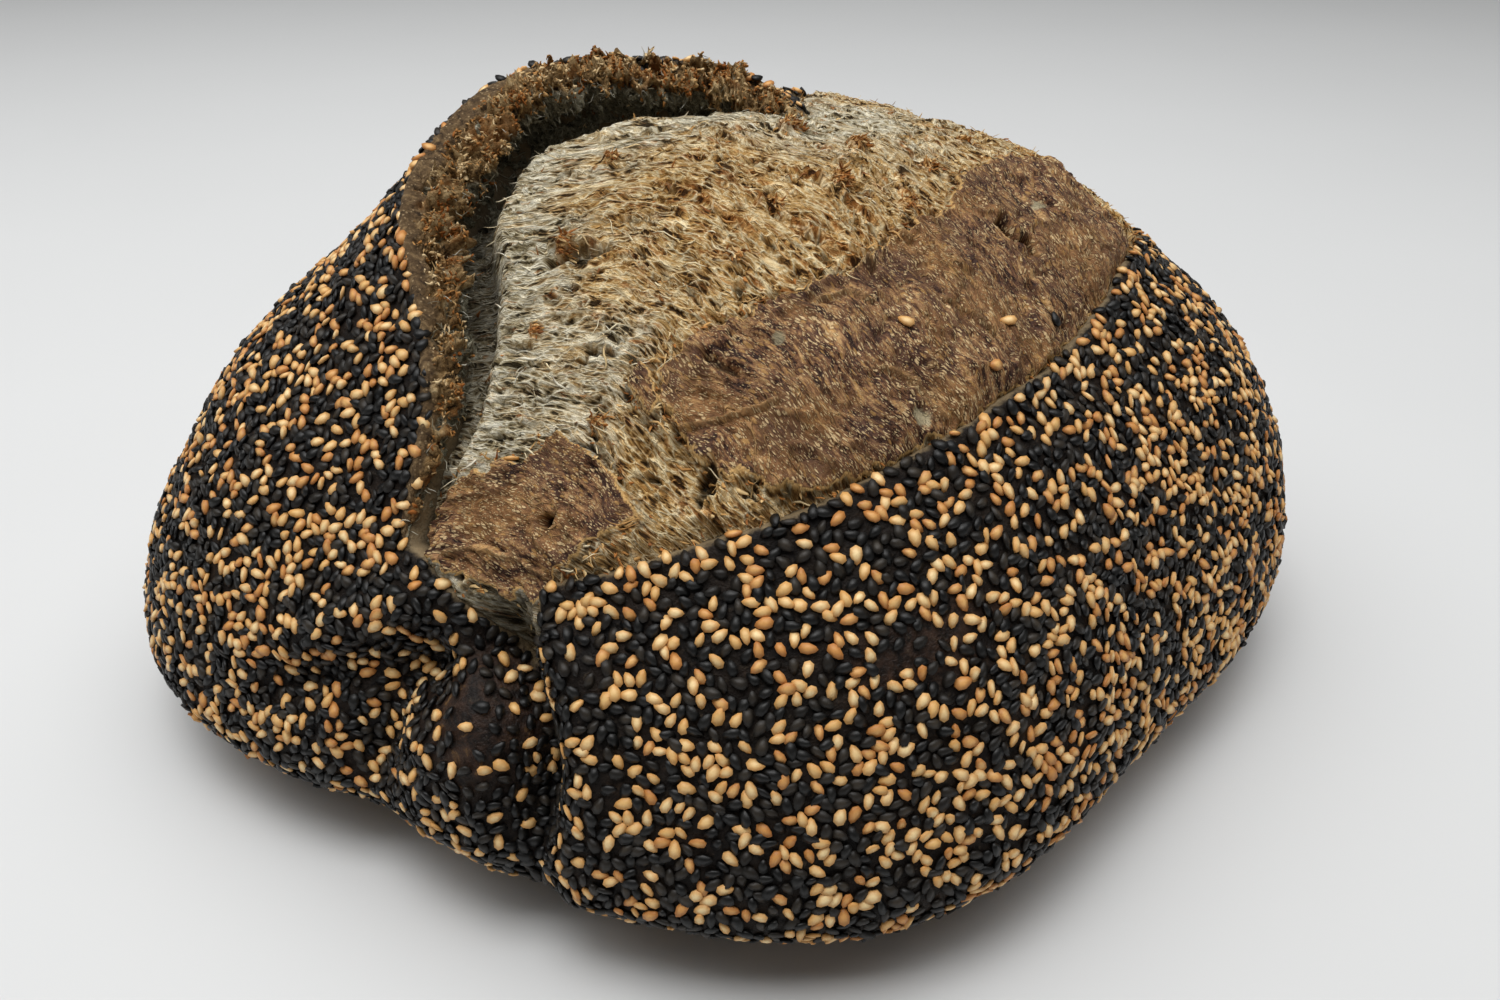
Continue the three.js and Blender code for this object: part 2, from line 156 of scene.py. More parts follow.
# distance down a middling meridian from the crown: it lays the round out flat as a disc
meridianClimb = np.linspace(math.pi / 2, -math.pi / 2, 4000)
meridianLine = roundPoint(np.full(len(meridianClimb), 0.2), meridianClimb)
meridianLength = np.append(0, np.cumsum(np.linalg.norm(np.diff(meridianLine, axis=0), axis=1)))


def climbAt(length):
    return np.interp(length, meridianLength, meridianClimb)


def discOf(turn, climb):
    length = np.interp(-climb, -meridianClimb, meridianLength)
    return np.stack([length * np.cos(turn), length * np.sin(turn)], -1)


def discOver(planPoints):
    plan = np.array(planPoints, float)
    return discOf(*anglesOver(plan[:, 0], plan[:, 1]))


def smoothPath(points, count):
    # a Catmull-Rom curve through the points
    p = np.array(points, float)
    p = np.vstack([2 * p[0] - p[1], p, 2 * p[-1] - p[-2]])
    t = np.linspace(0, len(p) - 3 - 1e-9, count)
    i = t.astype(int)
    u = (t - i)[:, None]
    a, b, c, d = p[i], p[i + 1], p[i + 2], p[i + 3]
    return 0.5 * (2 * b + (c - a) * u + (2 * a - 5 * b + 4 * c - d) * u**2 + (3 * b - a - 3 * c + d) * u**3)


def distanceTo(path, points):
    # shortest distance to a line of points, and how far along the line that is
    best = np.full(len(points), 1e9)
    place = np.zeros(len(points))
    for i in range(len(path) - 1):
        side = path[i + 1] - path[i]
        share = np.clip(((points - path[i]) @ side) / (side @ side), 0, 1)
        distance = np.linalg.norm(points - path[i] - share[:, None] * side, axis=1)
        nearer = distance < best
        best[nearer] = distance[nearer]
        place[nearer] = (i + share[nearer]) / (len(path) - 1)
    return best, place


def isInside(outline, points):
    inside = np.zeros(len(points), bool)
    x, y = points[:, 0], points[:, 1]
    for (ax, ay), (bx, by) in zip(outline, np.roll(outline, 1, 0)):
        if ay != by:
            inside ^= ((ay > y) != (by > y)) & (x < (bx - ax) * (y - ay) / (by - ay) + ax)
    return inside


def signedDistance(outline, points):
    # positive inside a closed outline
    closed = np.vstack([outline, outline[:1]])
    distance = distanceTo(closed, points)[0]
    return np.where(isInside(outline, points), distance, -distance)


def wave(points, size, shift=0.0):
    # soft bumps about `size` mm across, from -1 to 1
    return np.array([noise.noise(p) for p in (points / size + shift).tolist()])


def cells(points, size, shift=0.0):
    # distances to the nearest and second nearest of scattered centres, in shares of `size`
    found = [noise.voronoi(p)[0] for p in (points / size + shift).tolist()]
    found = np.array([(d[0], d[1]) for d in found])
    return found[:, 0], found[:, 1]


earPath = smoothPath(earLine, 96)
earFeet = roundPoint(*anglesOver(earPath[:, 0], earPath[:, 1]))
edgePath = smoothPath(crustEdge, 120)
edgeFeet = roundPoint(*anglesOver(edgePath[:, 0], edgePath[:, 1]))
slashOutline = discOver(np.vstack([earPath[:, :2], edgePath[::-1], frontTongue]))
foldPaths = [(smoothPath(line, 24), width, height) for line, width, height in loafFolds]


def swellHeight(points):
    height = np.zeros(len(points))
    for at, reach, high in loafSwells:
        height += high * np.exp(-(((points - at) / reach) ** 2).sum(-1))
    return height


def foldHeight(points):
    height = np.zeros(len(points))
    for path, width, high in foldPaths:
        distance, place = distanceTo(path, points)
        taper = (0.25 + 0.75 * smoothStep(0, 0.25, place)) * (1 - 0.7 * smoothStep(0.7, 1, place))
        height += high * taper * bell(distance, width)
    return height


def placeMesh(piece, points):
    piece.data.vertices.foreach_set("co", (points * mm).astype(np.float32).ravel())
    piece.data.update()


def putInOrder(items, places):
    # Blender's own order can change from run to run, and the random draws follow it
    rank = np.argsort(np.lexsort(np.array(places).T)).tolist()
    items.index_update()
    items.sort(key=lambda item: rank[item.index])
    items.index_update()


def orderMesh(bm):
    putInOrder(bm.verts, [vert.co[:] for vert in bm.verts])
    putInOrder(bm.faces, [face.calc_center_median()[:] for face in bm.faces])


def newPiece(name, bm):
    mesh = bpy.data.meshes.new(name)
    bm.to_mesh(mesh)
    bm.free()
    piece = bpy.data.objects.new(name, mesh)
    bpy.context.scene.collection.objects.link(piece)
    mesh.polygons.foreach_set("use_smooth", np.ones(len(mesh.polygons), bool))
    return piece


def meshPoints(piece):
    flat = np.empty(3 * len(piece.data.vertices), np.float32)
    piece.data.vertices.foreach_get("co", flat)
    return flat.reshape(-1, 3).astype(float)


def paintOn(piece, name, values):
    layer = piece.data.attributes.new(name, "FLOAT", "POINT")
    layer.data.foreach_set("value", np.asarray(values, np.float32))


def readFrom(piece, name):
    values = np.empty(len(piece.data.vertices), np.float32)
    piece.data.attributes[name].data.foreach_get("value", values)
    return values


def layOut(piece, name, perPoint):
    # a UV map from one position per vertex
    corners = np.empty(len(piece.data.loops), np.int32)
    piece.data.loops.foreach_get("vertex_index", corners)
    piece.data.uv_layers.new(name=name).data.foreach_set("uv", perPoint[corners].astype(np.float32).ravel())


def finishPiece(piece, material):
    piece.data.materials.append(material)
    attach(piece, "root")
    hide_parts("loaf")
    print(piece.name, len(piece.data.polygons), "faces")


class Wire:
    # one socket of a material, which sums can be written with
    def __init__(self, finish, socket):
        self.finish, self.socket = finish, socket

    def maths(self, operation, *values):
        return self.finish.node("ShaderNodeMath", {"operation": operation}, dict(enumerate(values)))

    def __add__(self, other):
        return self.maths("ADD", self, other)

    def __sub__(self, other):
        return self.maths("SUBTRACT", self, other)

    def __rsub__(self, other):
        return self.maths("SUBTRACT", other, self)

    def __mul__(self, other):
        return self.maths("MULTIPLY", self, other)

    def __pow__(self, other):
        return self.maths("POWER", self, other)

    __radd__ = __add__
    __rmul__ = __mul__

    def most(self, other):
        return self.maths("MAXIMUM", self, other)

    def between(self, low, high):
        # 0 up to the low value, 1 from the high one, and soft in between
        values = {"Value": self, "From Min": low, "From Max": high}
        return self.finish.node("ShaderNodeMapRange", {"interpolation_type": "SMOOTHSTEP"}, values)


class Finish:
    # a material, with short ways to add its nodes
    def __init__(self, name, roughness, specular):
        self.material = bpy.data.materials.new(name)
        self.material.use_nodes = True
        self.tree = self.material.node_tree
        self.shader = self.tree.nodes["Principled BSDF"]
        self.shader.inputs["Roughness"].default_value = roughness
        self.shader.inputs["Specular IOR Level"].default_value = specular

    def node(self, kind, settings=None, values=None, out=0):
        node = self.tree.nodes.new(kind)
        for name, value in (settings or {}).items():
            setattr(node, name, value)
        for name, value in (values or {}).items():
            if isinstance(value, Wire):
                self.tree.links.new(value.socket, node.inputs[name])
            else:
                node.inputs[name].default_value = value
        return Wire(self, node.outputs[out])

    def feed(self, name, wire):
        self.tree.links.new(wire.socket, self.shader.inputs[name])

    def attribute(self, name):
        return self.node("ShaderNodeAttribute", {"attribute_name": name}, out="Fac")

    def place(self, scale=(1, 1, 1), uv=None):
        # coordinates in millimetres, on the object or on one of its UV maps
        if uv:
            vector = self.node("ShaderNodeUVMap", {"uv_map": uv})
        else:
            vector = self.node("ShaderNodeTexCoord", out="Object")
            scale = tuple(s / mm for s in scale)
        return self.node("ShaderNodeMapping", None, {"Vector": vector, "Scale": scale})

    def grain(self, at, size, detail=2.0, rough=0.5, bend=0.0):
        values = {"Vector": at, "Scale": 1 / size, "Detail": detail, "Roughness": rough, "Distortion": bend}
        return self.node("ShaderNodeTexNoise", None, values)

    def specks(self, at, feature="F1", flat=True):
        settings = {"feature": feature, "voronoi_dimensions": "2D" if flat else "3D"}
        return self.node("ShaderNodeTexVoronoi", settings, {"Vector": at, "Scale": 1.0})

    def bent(self, at, size, amount):
        # coordinates pushed about by a soft noise
        values = {"Vector": at, "Scale": 1 / size, "Detail": 1.0}
        push = {0: self.node("ShaderNodeTexNoise", None, values, out="Color")}
        push.update({1: (amount,) * 3, 2: (-amount / 2,) * 3})
        shift = self.node("ShaderNodeVectorMath", {"operation": "MULTIPLY_ADD"}, push)
        return self.node("ShaderNodeVectorMath", {"operation": "ADD"}, {0: at, 1: shift})

    def blend(self, amount, first, second):
        first, second = [c if isinstance(c, Wire) else paint(*c) for c in (first, second)]
        return self.node("ShaderNodeMix", {"data_type": "RGBA"}, {0: amount, 6: first, 7: second}, out=2)

    def steps(self, amount, first, *later):
        # from the first colour through the later ones, each blended in between two amounts
        for low, high, colour in later:
            first = self.blend(amount.between(low, high), first, colour)
        return first

    def bump(self, height, distance, strength=1.0):
        values = {"Height": height, "Distance": distance * mm, "Strength": strength}
        return self.node("ShaderNodeBump", None, values)


def paint(*screenColour):
    # a colour as a screen shows it, 0 to 255, made linear
    channels = [c / 255 for c in screenColour]
    return tuple(c / 12.92 if c < 0.04045 else ((c + 0.055) / 1.055) ** 2.4 for c in channels) + (1.0,)


studio = {
    "cameraAt": (0.00282, -0.2568, 0.1907), "lookDown": 32, "lens": 28.8, "sensor": 36,
    "floor": (214, 215, 215), "floorMottle": (218, 219, 219), "floorReach": 3.0, "roomLight": 0.135,
}

# name, place, turn in degrees, size and power
studioLights = [
    ("overhead", (-0.15, 0.12, 1.1), (0, -4, 0), (2.1, 1.3), 16.4),
    ("key", (-0.1, -0.22, 1.15), (10, -4, 0), (0.6, 0.5), 4.6),
]


def makeStudio():
    bm = bmesh.new()
    bmesh.ops.create_grid(bm, x_segments=2, y_segments=2, size=studio["floorReach"])
    floor = newPiece("floor", bm)
    finish = Finish("paleFloor", roughness=0.75, specular=0.2)
    mottle = finish.grain(finish.place(), 160, 2)
    finish.feed("Base Color", finish.blend(mottle, studio["floor"], studio["floorMottle"]))
    floor.data.materials.append(finish.material)

    camera = bpy.data.objects.new("camera", bpy.data.cameras.new("camera"))
    camera.location = studio["cameraAt"]
    camera.rotation_euler = (math.radians(90 - studio["lookDown"]), 0, 0)
    camera.data.lens, camera.data.sensor_width = studio["lens"], studio["sensor"]
    camera.data.clip_start = 0.01
    bpy.context.scene.collection.objects.link(camera)
    bpy.context.scene.camera = camera

    for name, at, turn, size, power in studioLights:
        lamp = bpy.data.lights.new(name, "AREA")
        lamp.shape, lamp.size, lamp.size_y, lamp.energy = "RECTANGLE", size[0], size[1], power
        light = bpy.data.objects.new(name, lamp)
        light.location = at
        light.rotation_euler = [math.radians(t) for t in turn]
        bpy.context.scene.collection.objects.link(light)

    world = bpy.data.worlds.new("studio")
    world.use_nodes = True
    world.node_tree.nodes["Background"].inputs["Color"].default_value = (1.0, 1.0, 1.0, 1)
    world.node_tree.nodes["Background"].inputs["Strength"].default_value = studio["roomLight"]
    bpy.context.scene.world = world
    bpy.context.scene.view_settings.view_transform = "Standard"
    print("floor, lights and camera")


makeStudio()


# the places on the crust where its skin shows between the seeds
bareSpots = {
    "knuckle": (-48, -103, 50), "knuckleReach": 9,
    "streak": ((25, -103, 63), (42, -97, 66)), "streakReach": 4,
}

crustMake = {
    "around": 460, "domeRings": 150, "heelRings": 34, "baseRings": 20,
    "rampPower": 1.8, "rampWidth": 34, "earFullRise": 8,
    "underBloom": 5.0, "underGap": 9.5,
    "lipHeight": 0.7, "lipWidth": 3.0,
    "baseReach": 92,
}


def earSize(rise):
    return np.minimum(1, rise / crustMake["earFullRise"])


def crustHeight(base, disc):
    inSlash = signedDistance(slashOutline, disc)
    fromEar, placeEar = distanceTo(earFeet, base)
    fromEdge = distanceTo(edgeFeet, base)[0]
    rise = np.interp(placeEar, np.linspace(0, 1, len(earPath)), earPath[:, 2])
    size = earSize(rise)
    width = crustMake["rampWidth"] * (0.3 + 0.7 * size)
    outside = inSlash <= 0
    ramp = rise * np.clip(1 - fromEar / width, 0, 1) ** crustMake["rampPower"]
    lip = crustMake["lipHeight"] * bell(fromEdge, crustMake["lipWidth"]) * smoothStep(3, 12, fromEar)
    crest = np.maximum(rise * (1 - smoothStep(1.5, 4, fromEar)), ramp + lip)
    height = np.where(outside, ramp + lip, crest * (1 - smoothStep(0, 1.5, inSlash)))
    gap = crustMake["underGap"] * size * (1 - smoothStep(8, 16, fromEar))
    height -= np.where(outside, 0, (crustMake["underBloom"] + gap) * smoothStep(0.6, 3.0, inSlash))
    soft = 0.6 * wave(base, 16) + 0.45 * wave(base, 6, 7.1) + 0.15 * wave(base, 2.6, 3.3)
    low = smoothStep(0, 5, base[:, 2])
    folds = foldHeight(base) * smoothStep(0, 8, base[:, 2]) * (base[:, 2] < 102)
    return (height + swellHeight(base) + folds + soft) * low, inSlash


def bareHere(points, widen=1.0):
    # how near the points are to the bare knuckle and to the bare streak, 1 at the middle of each
    toKnuckle = np.linalg.norm(points - bareSpots["knuckle"], axis=1)
    toStreak = distanceTo(np.array(bareSpots["streak"], float), points)[0]
    onKnuckle = bell(toKnuckle, widen * bareSpots["knuckleReach"])
    return onKnuckle, bell(toStreak, widen * bareSpots["streakReach"])


def makeCrust():
    made = crustMake
    rings = made["domeRings"] + made["heelRings"] + made["baseRings"]
    bm = bmesh.new()
    bmesh.ops.create_uvsphere(bm, u_segments=made["around"], v_segments=rings, radius=1)
    orderMesh(bm)
    crust = newPiece("crust", bm)
    ball = meshPoints(crust)
    turn = np.arctan2(ball[:, 1], ball[:, 0])
    ring = (0.5 - np.arcsin(np.clip(ball[:, 2], -1, 1)) / math.pi) * rings
    stops = [0, made["domeRings"], made["domeRings"] + made["heelRings"], rings]
    domeEnd = np.interp(0.12, -meridianClimb, meridianLength)
    heelEnd = meridianLength[-1] - made["baseReach"]
    climb = climbAt(np.interp(ring, stops, [0, domeEnd, heelEnd, meridianLength[-1]]))
    base = roundPoint(turn, climb)
    disc = discOf(turn, climb)
    height, inSlash = crustHeight(base, disc)
    placeMesh(crust, base + roundNormal(turn, climb) * height[:, None])
    paintOn(crust, "inSlash", inSlash)
    paintOn(crust, "bareSkin", np.maximum(*bareHere(base, 1.6)))
    layOut(crust, "OFBake", np.stack([turn / math.tau + 0.5, ring / rings], -1))
    return crust


crust = makeCrust()


strandScale = 100  # millimetres to one unit of the UV map that follows the strands

# the bloom is the crumb that burst through the slash
bloomMake = {
    "spacing": 0.51, "margin": 3.0, "wall": 8.0,
    "flow": math.radians(-32), "flowBend": 0.002, "flowCentre": (8, -32),
    "gapDepth": 9.5, "edgeValley": 1.5, "edgeValleyWidth": 6,
    "strands": 0.4, "ledge": 1.0, "ledgeWidth": 5.2,
    "pore": 1.6, "wallRise": 0.6, "hills": 1.1,
    "skinRise": 1.3, "skinRag": 2.0,
    # the line by the front groove where the crumb is painted darker, as painted shade
    "grooveShadeLine": ((-41, -92, 62), (-38, -97, 58), (-35, -104, 50)),
}

# torn pieces of skin that the crumb carries, in plan
skinPieces = [
    [(-15, -63.6), (-8, -61.5), (-2.5, -59), (4.6, -56), (12, -52), (21, -47.5), (29.5, -37), (42.8, -23),
     (47.8, -8), (60.7, 9), (73.5, 14.7), (81, 4), (86, -4), (84, -16), (69, -37.5), (55.5, -54.5),
     (43.5, -67.5), (33, -75), (23.5, -81), (13.5, -85), (2, -84), (-5, -80.5), (-7.5, -75.5),
     (-12.8, -71)],
    [(-55, -71.7), (-48, -70.6), (-38, -71.4), (-31, -70.4), (-23, -76), (-18.7, -81), (-16, -86),
     (-22.7, -87.2), (-30, -88.4), (-36, -90), (-43, -86.5), (-53, -80.5), (-57.5, -76.4)],
    [(-18.2, -64.5), (-15.5, -63), (-13, -66), (-12, -70.5), (-14.5, -71.5), (-16.5, -68)],
]

# holes and hollows, whose floors are painted dark as painted shade: centre in plan, half length and half
# width along the strands, depth
bloomHoles = [
    ((-32, -81.8), 1.9, 1.5, 4.0), ((54.4, -22.4), 3.8, 3.2, 5.0), ((58.8, -23.8), 3.6, 3.0, 5.0),
    ((-29.5, -35.5), 6.5, 2.1, 3.6), ((-34.5, -36), 2.6, 1.8, 3.6), ((-5, -83), 2.2, 4.6, 3.4),
    ((24, -24), 4.5, 1.4, 2.0), ((32.4, -71.5), 2.4, 1.9, 1.0),
    ((66, -8), 4.0, 1.4, 1.4), ((-2, -66), 6.0, 1.3, 1.8), ((-24, -58), 5.0, 1.2, 2.0),
    ((-40, -52), 4.0, 1.1, 1.8), ((-20, 2), 5.0, 1.3, 2.0), ((12, 16), 4.5, 1.2, 1.8),
]

# browned lumps that stand up: centre in plan, reach and height
bloomLumps = [
    ((-2, -61), 2.4, 1.5), ((11.3, -1), 2.8, 2.2), ((25, -7.5), 2.8, 2.0), ((20.5, -24), 2.2, 1.4),
    ((33.5, -26), 2.4, 1.4), ((-33.5, -33), 2.0, 1.5), ((-26, -10), 1.8, 1.0), ((-24, -70), 1.8, 1.1),
    ((0, -44), 1.7, 0.9), ((40, -8), 2.0, 1.2), ((8, -32), 1.7, 0.9), ((52, 16), 2.0, 1.1),
    ((-37, -50), 1.6, 0.8),
]

# windows in the skin where pale crumb shows: centre in plan and reach
paleWindows = [((32.4, -71.5), 2.3), ((63, -10), 1.7), ((8, -62), 1.2)]

# wider hollows without painted shade on their floors: the same numbers
bloomDips = [
    ((-11, -80), 11.0, 6.5, 3.6), ((-2, -92), 9.0, 4.0, 2.0), ((-25, -66), 8.0, 4.0, 1.6),
    ((30, -20), 9.0, 5.0, 1.4), ((-42, -30), 12.0, 4.0, 1.2), ((10, 5), 12.0, 4.0, 1.2),
    ((10, -87), 8.0, 2.6, 1.8), ((24, -82), 6.0, 2.0, 1.6),
]

# long raised folds on the crumb and its skin: places in plan, width and height
bloomCreases = [
    (((-8.9, -74.7), (-4.9, -74.5), (1.0, -74.0), (7.6, -72.8)), 0.45, 1.1),
    (((25.6, -65.6), (30.2, -65.6), (33.7, -67.4), (36.8, -70.6)), 0.45, 0.9),
    (((14.6, -53.8), (20.0, -52.3), (24.6, -53.3)), 0.45, 0.9),
    (((38.3, -47.7), (43.1, -47.9), (47.8, -50.4)), 0.45, 0.8),
    (((-50.8, -80.1), (-45.0, -81.1), (-37.2, -84.9), (-32.5, -88.3)), 0.45, 1.0),
    (((4.7, -30.1), (12.3, -36.9), (21.4, -44.6), (25.1, -45.5)), 0.7, 1.5),
    (((-15.1, -21.5), (-6.9, -28.1), (4.7, -39.4)), 0.7, 1.2),
    (((14, -22), (24, -31), (33, -36)), 0.7, 1.2),
    (((-36, -32.5), (-32, -31.8), (-28, -32.3)), 0.9, 1.8),
]


def discPoint(disc):
    turn = np.arctan2(disc[:, 1], disc[:, 0])
    climb = climbAt(np.hypot(disc[:, 0], disc[:, 1]))
    return roundPoint(turn, climb), roundNormal(turn, climb)


def strandPlace(disc):
    # coordinates along and across the stretched strands
    made = bloomMake
    east, north = (disc - discOver([made["flowCentre"]])).T
    along = east * math.cos(made["flow"]) + north * math.sin(made["flow"])
    across = north * math.cos(made["flow"]) - east * math.sin(made["flow"]) + made["flowBend"] * along**2
    flat = np.stack([disc[:, 0], disc[:, 1], np.zeros(len(disc))], -1)
    across = across + 2.2 * wave(flat, 17, 5.5) + 0.8 * wave(flat, 6, 2.2)
    return along, across, flat


def stretched(along, across, length, width, layer=0.0):
    return np.stack([along / length, across / width, np.full(len(along), layer)], -1)


def bloomHeight(disc, base):
    made = bloomMake
    inSlash = signedDistance(slashOutline, disc)
    fromEar, placeEar = distanceTo(earFeet, base)
    fromEdge = distanceTo(edgeFeet, base)[0]
    rise = np.interp(placeEar, np.linspace(0, 1, len(earPath)), earPath[:, 2])
    size = np.maximum(earSize(rise), 0.45 * (placeEar < 0.3))
    along, across, flat = strandPlace(disc)

    gap = made["gapDepth"] * size * (1 - smoothStep(8.5, 17, fromEar / np.maximum(size, 0.3)))
    valley = made["edgeValley"] * (1 - smoothStep(1, made["edgeValleyWidth"], fromEdge + 1.5 * wave(flat, 7)))
    rim = 3.5 * (1 - smoothStep(-1.0, 1.6, inSlash + 0.8 * wave(flat, 3.5, 6.2)))
    folds = foldHeight(base) * (base[:, 2] < 90)
    shape = swellHeight(base) + folds - gap - np.maximum(valley, rim)

    skin, frayed, underSkinShade = np.zeros((3, len(disc)))
    rag = made["skinRag"] * wave(flat, 6, 9.1) + 1.1 * wave(flat, 2.2, 4.4)
    rag += 1.0 * wave(stretched(along, across, 4.0, 1.2, 7.0), 1)
    for outline in skinPieces:
        inSkin = signedDistance(discOver(outline), disc) + rag
        skin = np.maximum(skin, smoothStep(-0.25, 0.45, inSkin))
        frayed = np.maximum(frayed, bell(inSkin + 1.0, 2.0))
        # a band just outside each skin's edge, painted dark in the finish as painted shade under the edge
        underSkinShade = np.maximum(underSkinShade, bell(inSkin + 0.9, 0.7))
        shape += 0.4 * bell(inSkin - 0.8, 0.8)
    bare = 1 - skin

    hills = made["hills"] * (wave(flat, 13, 1.7) + 0.8 * wave(stretched(along, across, 22, 8), 1))
    strands = made["strands"] * wave(stretched(along, across, 9, 1.5), 1)
    band = across / made["ledgeWidth"] + 0.9 * wave(stretched(along, across, 19, 9, 6.0), 1)
    saw = 1 - (band - np.floor(band))
    patch = smoothStep(-0.2, 0.35, wave(stretched(along, across, 15, 6, 9.0), 1))
    ledge = made["ledge"] * saw**2.2 * patch
    bent = across + 0.5 * wave(stretched(along, across, 5, 3, 2.0), 1)
    nearest, second = cells(stretched(along, bent, 4.6, 1.8, 1.0), 1)
    small = cells(stretched(along, bent, 2.4, 1.0, 4.0), 1)[0]
    openness = smoothStep(-0.15, 0.3, wave(stretched(along, across, 12, 6, 12.0), 1))
    pore = (1 - smoothStep(0.16, 0.46, nearest)) * openness
    smallOpen = smoothStep(0.0, 0.3, wave(stretched(along, across, 9, 7, 15.0), 1))
    pore = np.maximum(pore, 0.7 * (1 - smoothStep(0.15, 0.4, small)) * smallOpen)
    cellWall = (1 - smoothStep(0.02, 0.3, second - nearest)) * (0.3 + 0.7 * openness)
    crumbRelief = 1.3 * strands + ledge + made["wallRise"] * cellWall - made["pore"] * pore
    wrinkle = 0.42 * wave(stretched(along, across, 8, 2.4, 5.0), 1)
    wrinkle += 0.2 * wave(stretched(along, across, 3, 1.2, 8), 1)
    crease = bell(wave(stretched(along, across, 15, 7, 21.0), 1), 0.07)
    crease *= smoothStep(-0.1, 0.2, wave(flat, 12, 31.0))
    wrinkle += 1.1 * crease - 0.8 * bell(wave(stretched(along, across, 11, 4, 27.0), 1), 0.05)
    relief = hills + bare * crumbRelief + skin * (made["skinRise"] + wrinkle)

    def farFrom(centre, half, wide):
        middleAlong, middleAcross = strandPlace(discOver([centre]))[:2]
        return np.hypot((along - middleAlong) / half, (across - middleAcross) / wide)

    hollow = np.zeros(len(disc))
    ragged = 0.25 * wave(flat, 1.6, 3.9) + 0.2 * wave(stretched(along, across, 4, 0.9, 5.5), 1)
    for centre, half, wide, deep in bloomHoles:
        far = farFrom(centre, half, wide)
        inHole = 1 - smoothStep(0.55, 1.1, far + ragged)
        relief -= deep * inHole
        relief += 0.35 * bell(far + ragged - 1.3, 0.25)
        hollow = np.maximum(hollow, inHole * min(1, deep / 2.5))
    for centre, half, wide, deep in bloomDips:
        relief -= deep * bare * (1 - smoothStep(0.2, 1.2, farFrom(centre, half, wide) + ragged))
    lump, pale = np.zeros(len(disc)), np.zeros(len(disc))
    for centre, reach, high in bloomLumps:
        far = np.hypot(*(disc - discOver([centre])).T) / reach + 0.6 * wave(flat, 2.2, 14.0)
        here = 1 - smoothStep(0.5, 1.2, far)
        relief += here * (high + 0.6 * wave(base, 1.5, 17.0))
        lump = np.maximum(lump, here)
    for centre, reach in paleWindows:
        far = np.hypot(*(disc - discOver([centre])).T) / reach + 0.5 * wave(flat, 2.0, 19.0)
        pale = np.maximum(pale, 1 - smoothStep(0.75, 0.95, far))
    folded = np.zeros(len(disc))
    for line, width, high in bloomCreases:
        far = distanceTo(discOver(line), disc + 0.5 * wave(flat, 3.0, 25.0)[:, None])[0]
        folded = np.maximum(folded, bell(far, width))
        relief += high * (bell(far, width) - 0.5 * bell(far - 1.8 * width, width))
    settle = smoothStep(-1.5, 3.5, inSlash)
    # crumb near the front groove painted darker: painted shade
    grooveShade = 0.75 * (1 - smoothStep(4, 15, distanceTo(np.array(made["grooveShadeLine"], float), base)[0]))
    crest = np.clip(ledge / made["ledge"] + 0.5 * strands / made["strands"], 0, 1) * bare
    grey = 1 - smoothStep(10, 62, fromEar + 14 * wave(flat, 15, 2.9))
    looks = {
        # pore: where the pores and holes are, painted dark in the finish as painted shade
        "skin": skin, "crest": crest, "pore": np.maximum(pore * bare, hollow), "grey": grey,
        # deep: painted shade in the gap under the ear and by the front groove
        "deep": np.clip(gap / made["gapDepth"] + grooveShade, 0, 1), "inSlash": inSlash, "frayed": frayed * bare,
        "cellWall": cellWall * bare, "fromEdge": fromEdge, "lump": lump, "pale": pale, "folded": folded,
        # the band outside the skins' edges that gets painted shade
        "underSkinShade": underSkinShade * (0.4 + 0.6 * smoothStep(-0.3, 0.2, wave(flat, 2.5, 33.0))),
    }
    return shape + relief * settle, inSlash, looks, along, across


def makeBloom():
    made = bloomMake
    low, high = slashOutline.min(0) - made["margin"], slashOutline.max(0) + made["margin"]
    steps = np.ceil((high - low) / made["spacing"]).astype(int)
    bm = bmesh.new()
    bmesh.ops.create_grid(bm, x_segments=int(steps[0]), y_segments=int(steps[1]), size=1)
    spots = np.array([v.co[:2] for v in bm.verts])
    disc = low + (spots + 1) / 2 * (high - low)
    kept = signedDistance(slashOutline, disc) > -made["margin"]
    bmesh.ops.delete(bm, geom=[v for v, keep in zip(bm.verts, kept) if not keep], context="VERTS")
    disc = disc[kept]
    rimEdges = [e for e in bm.edges if e.is_boundary]
    walls = bmesh.ops.extrude_edge_only(bm, edges=rimEdges)["geom"]
    wallPoints = [g for g in walls if isinstance(g, bmesh.types.BMVert)]
    sources = {tuple(round(c, 6) for c in v.co): i for i, v in enumerate(bm.verts) if i < len(disc)}
    below = [sources[tuple(round(c, 6) for c in v.co)] for v in wallPoints]
    bmesh.ops.holes_fill(bm, edges=[e for e in bm.edges if e.is_boundary])
    bmesh.ops.triangulate(bm, faces=[f for f in bm.faces if len(f.verts) > 4])
    putInOrder(bm.faces, [face.calc_center_median()[:] for face in bm.faces])
    bloom = newPiece("bloom", bm)
    base, outward = discPoint(disc)
    height, inSlash, looks, along, across = bloomHeight(disc, base)
    top = base + outward * height[:, None]
    placeMesh(bloom, np.vstack([top, top[below] - outward[below] * made["wall"]]))
    for name, values in looks.items():
        paintOn(bloom, name, np.append(values, values[below]))
    strandMap = np.stack([along, across], -1) / strandScale
    layOut(bloom, "strands", np.vstack([strandMap, strandMap[below]]))
    flatMap = (disc - low) / (high - low).max()
    layOut(bloom, "OFBake", np.vstack([flatMap, flatMap[below]]))
    bloom.data.uv_layers["OFBake"].active = True
    # the way that the strands run over the surface
    bend = 2 * made["flowBend"] * along
    way = np.stack([math.cos(made["flow"]) + bend * math.sin(made["flow"]),
                    math.sin(made["flow"]) - bend * math.cos(made["flow"])], -1)
    strandWay = unit(discPoint(disc + way)[0] - base)
    facts = {name: np.append(values, values[below]) for name, values in looks.items()}
    return bloom, facts, np.vstack([strandWay, strandWay[below]])


bloom, bloomFacts, strandWay = makeBloom()


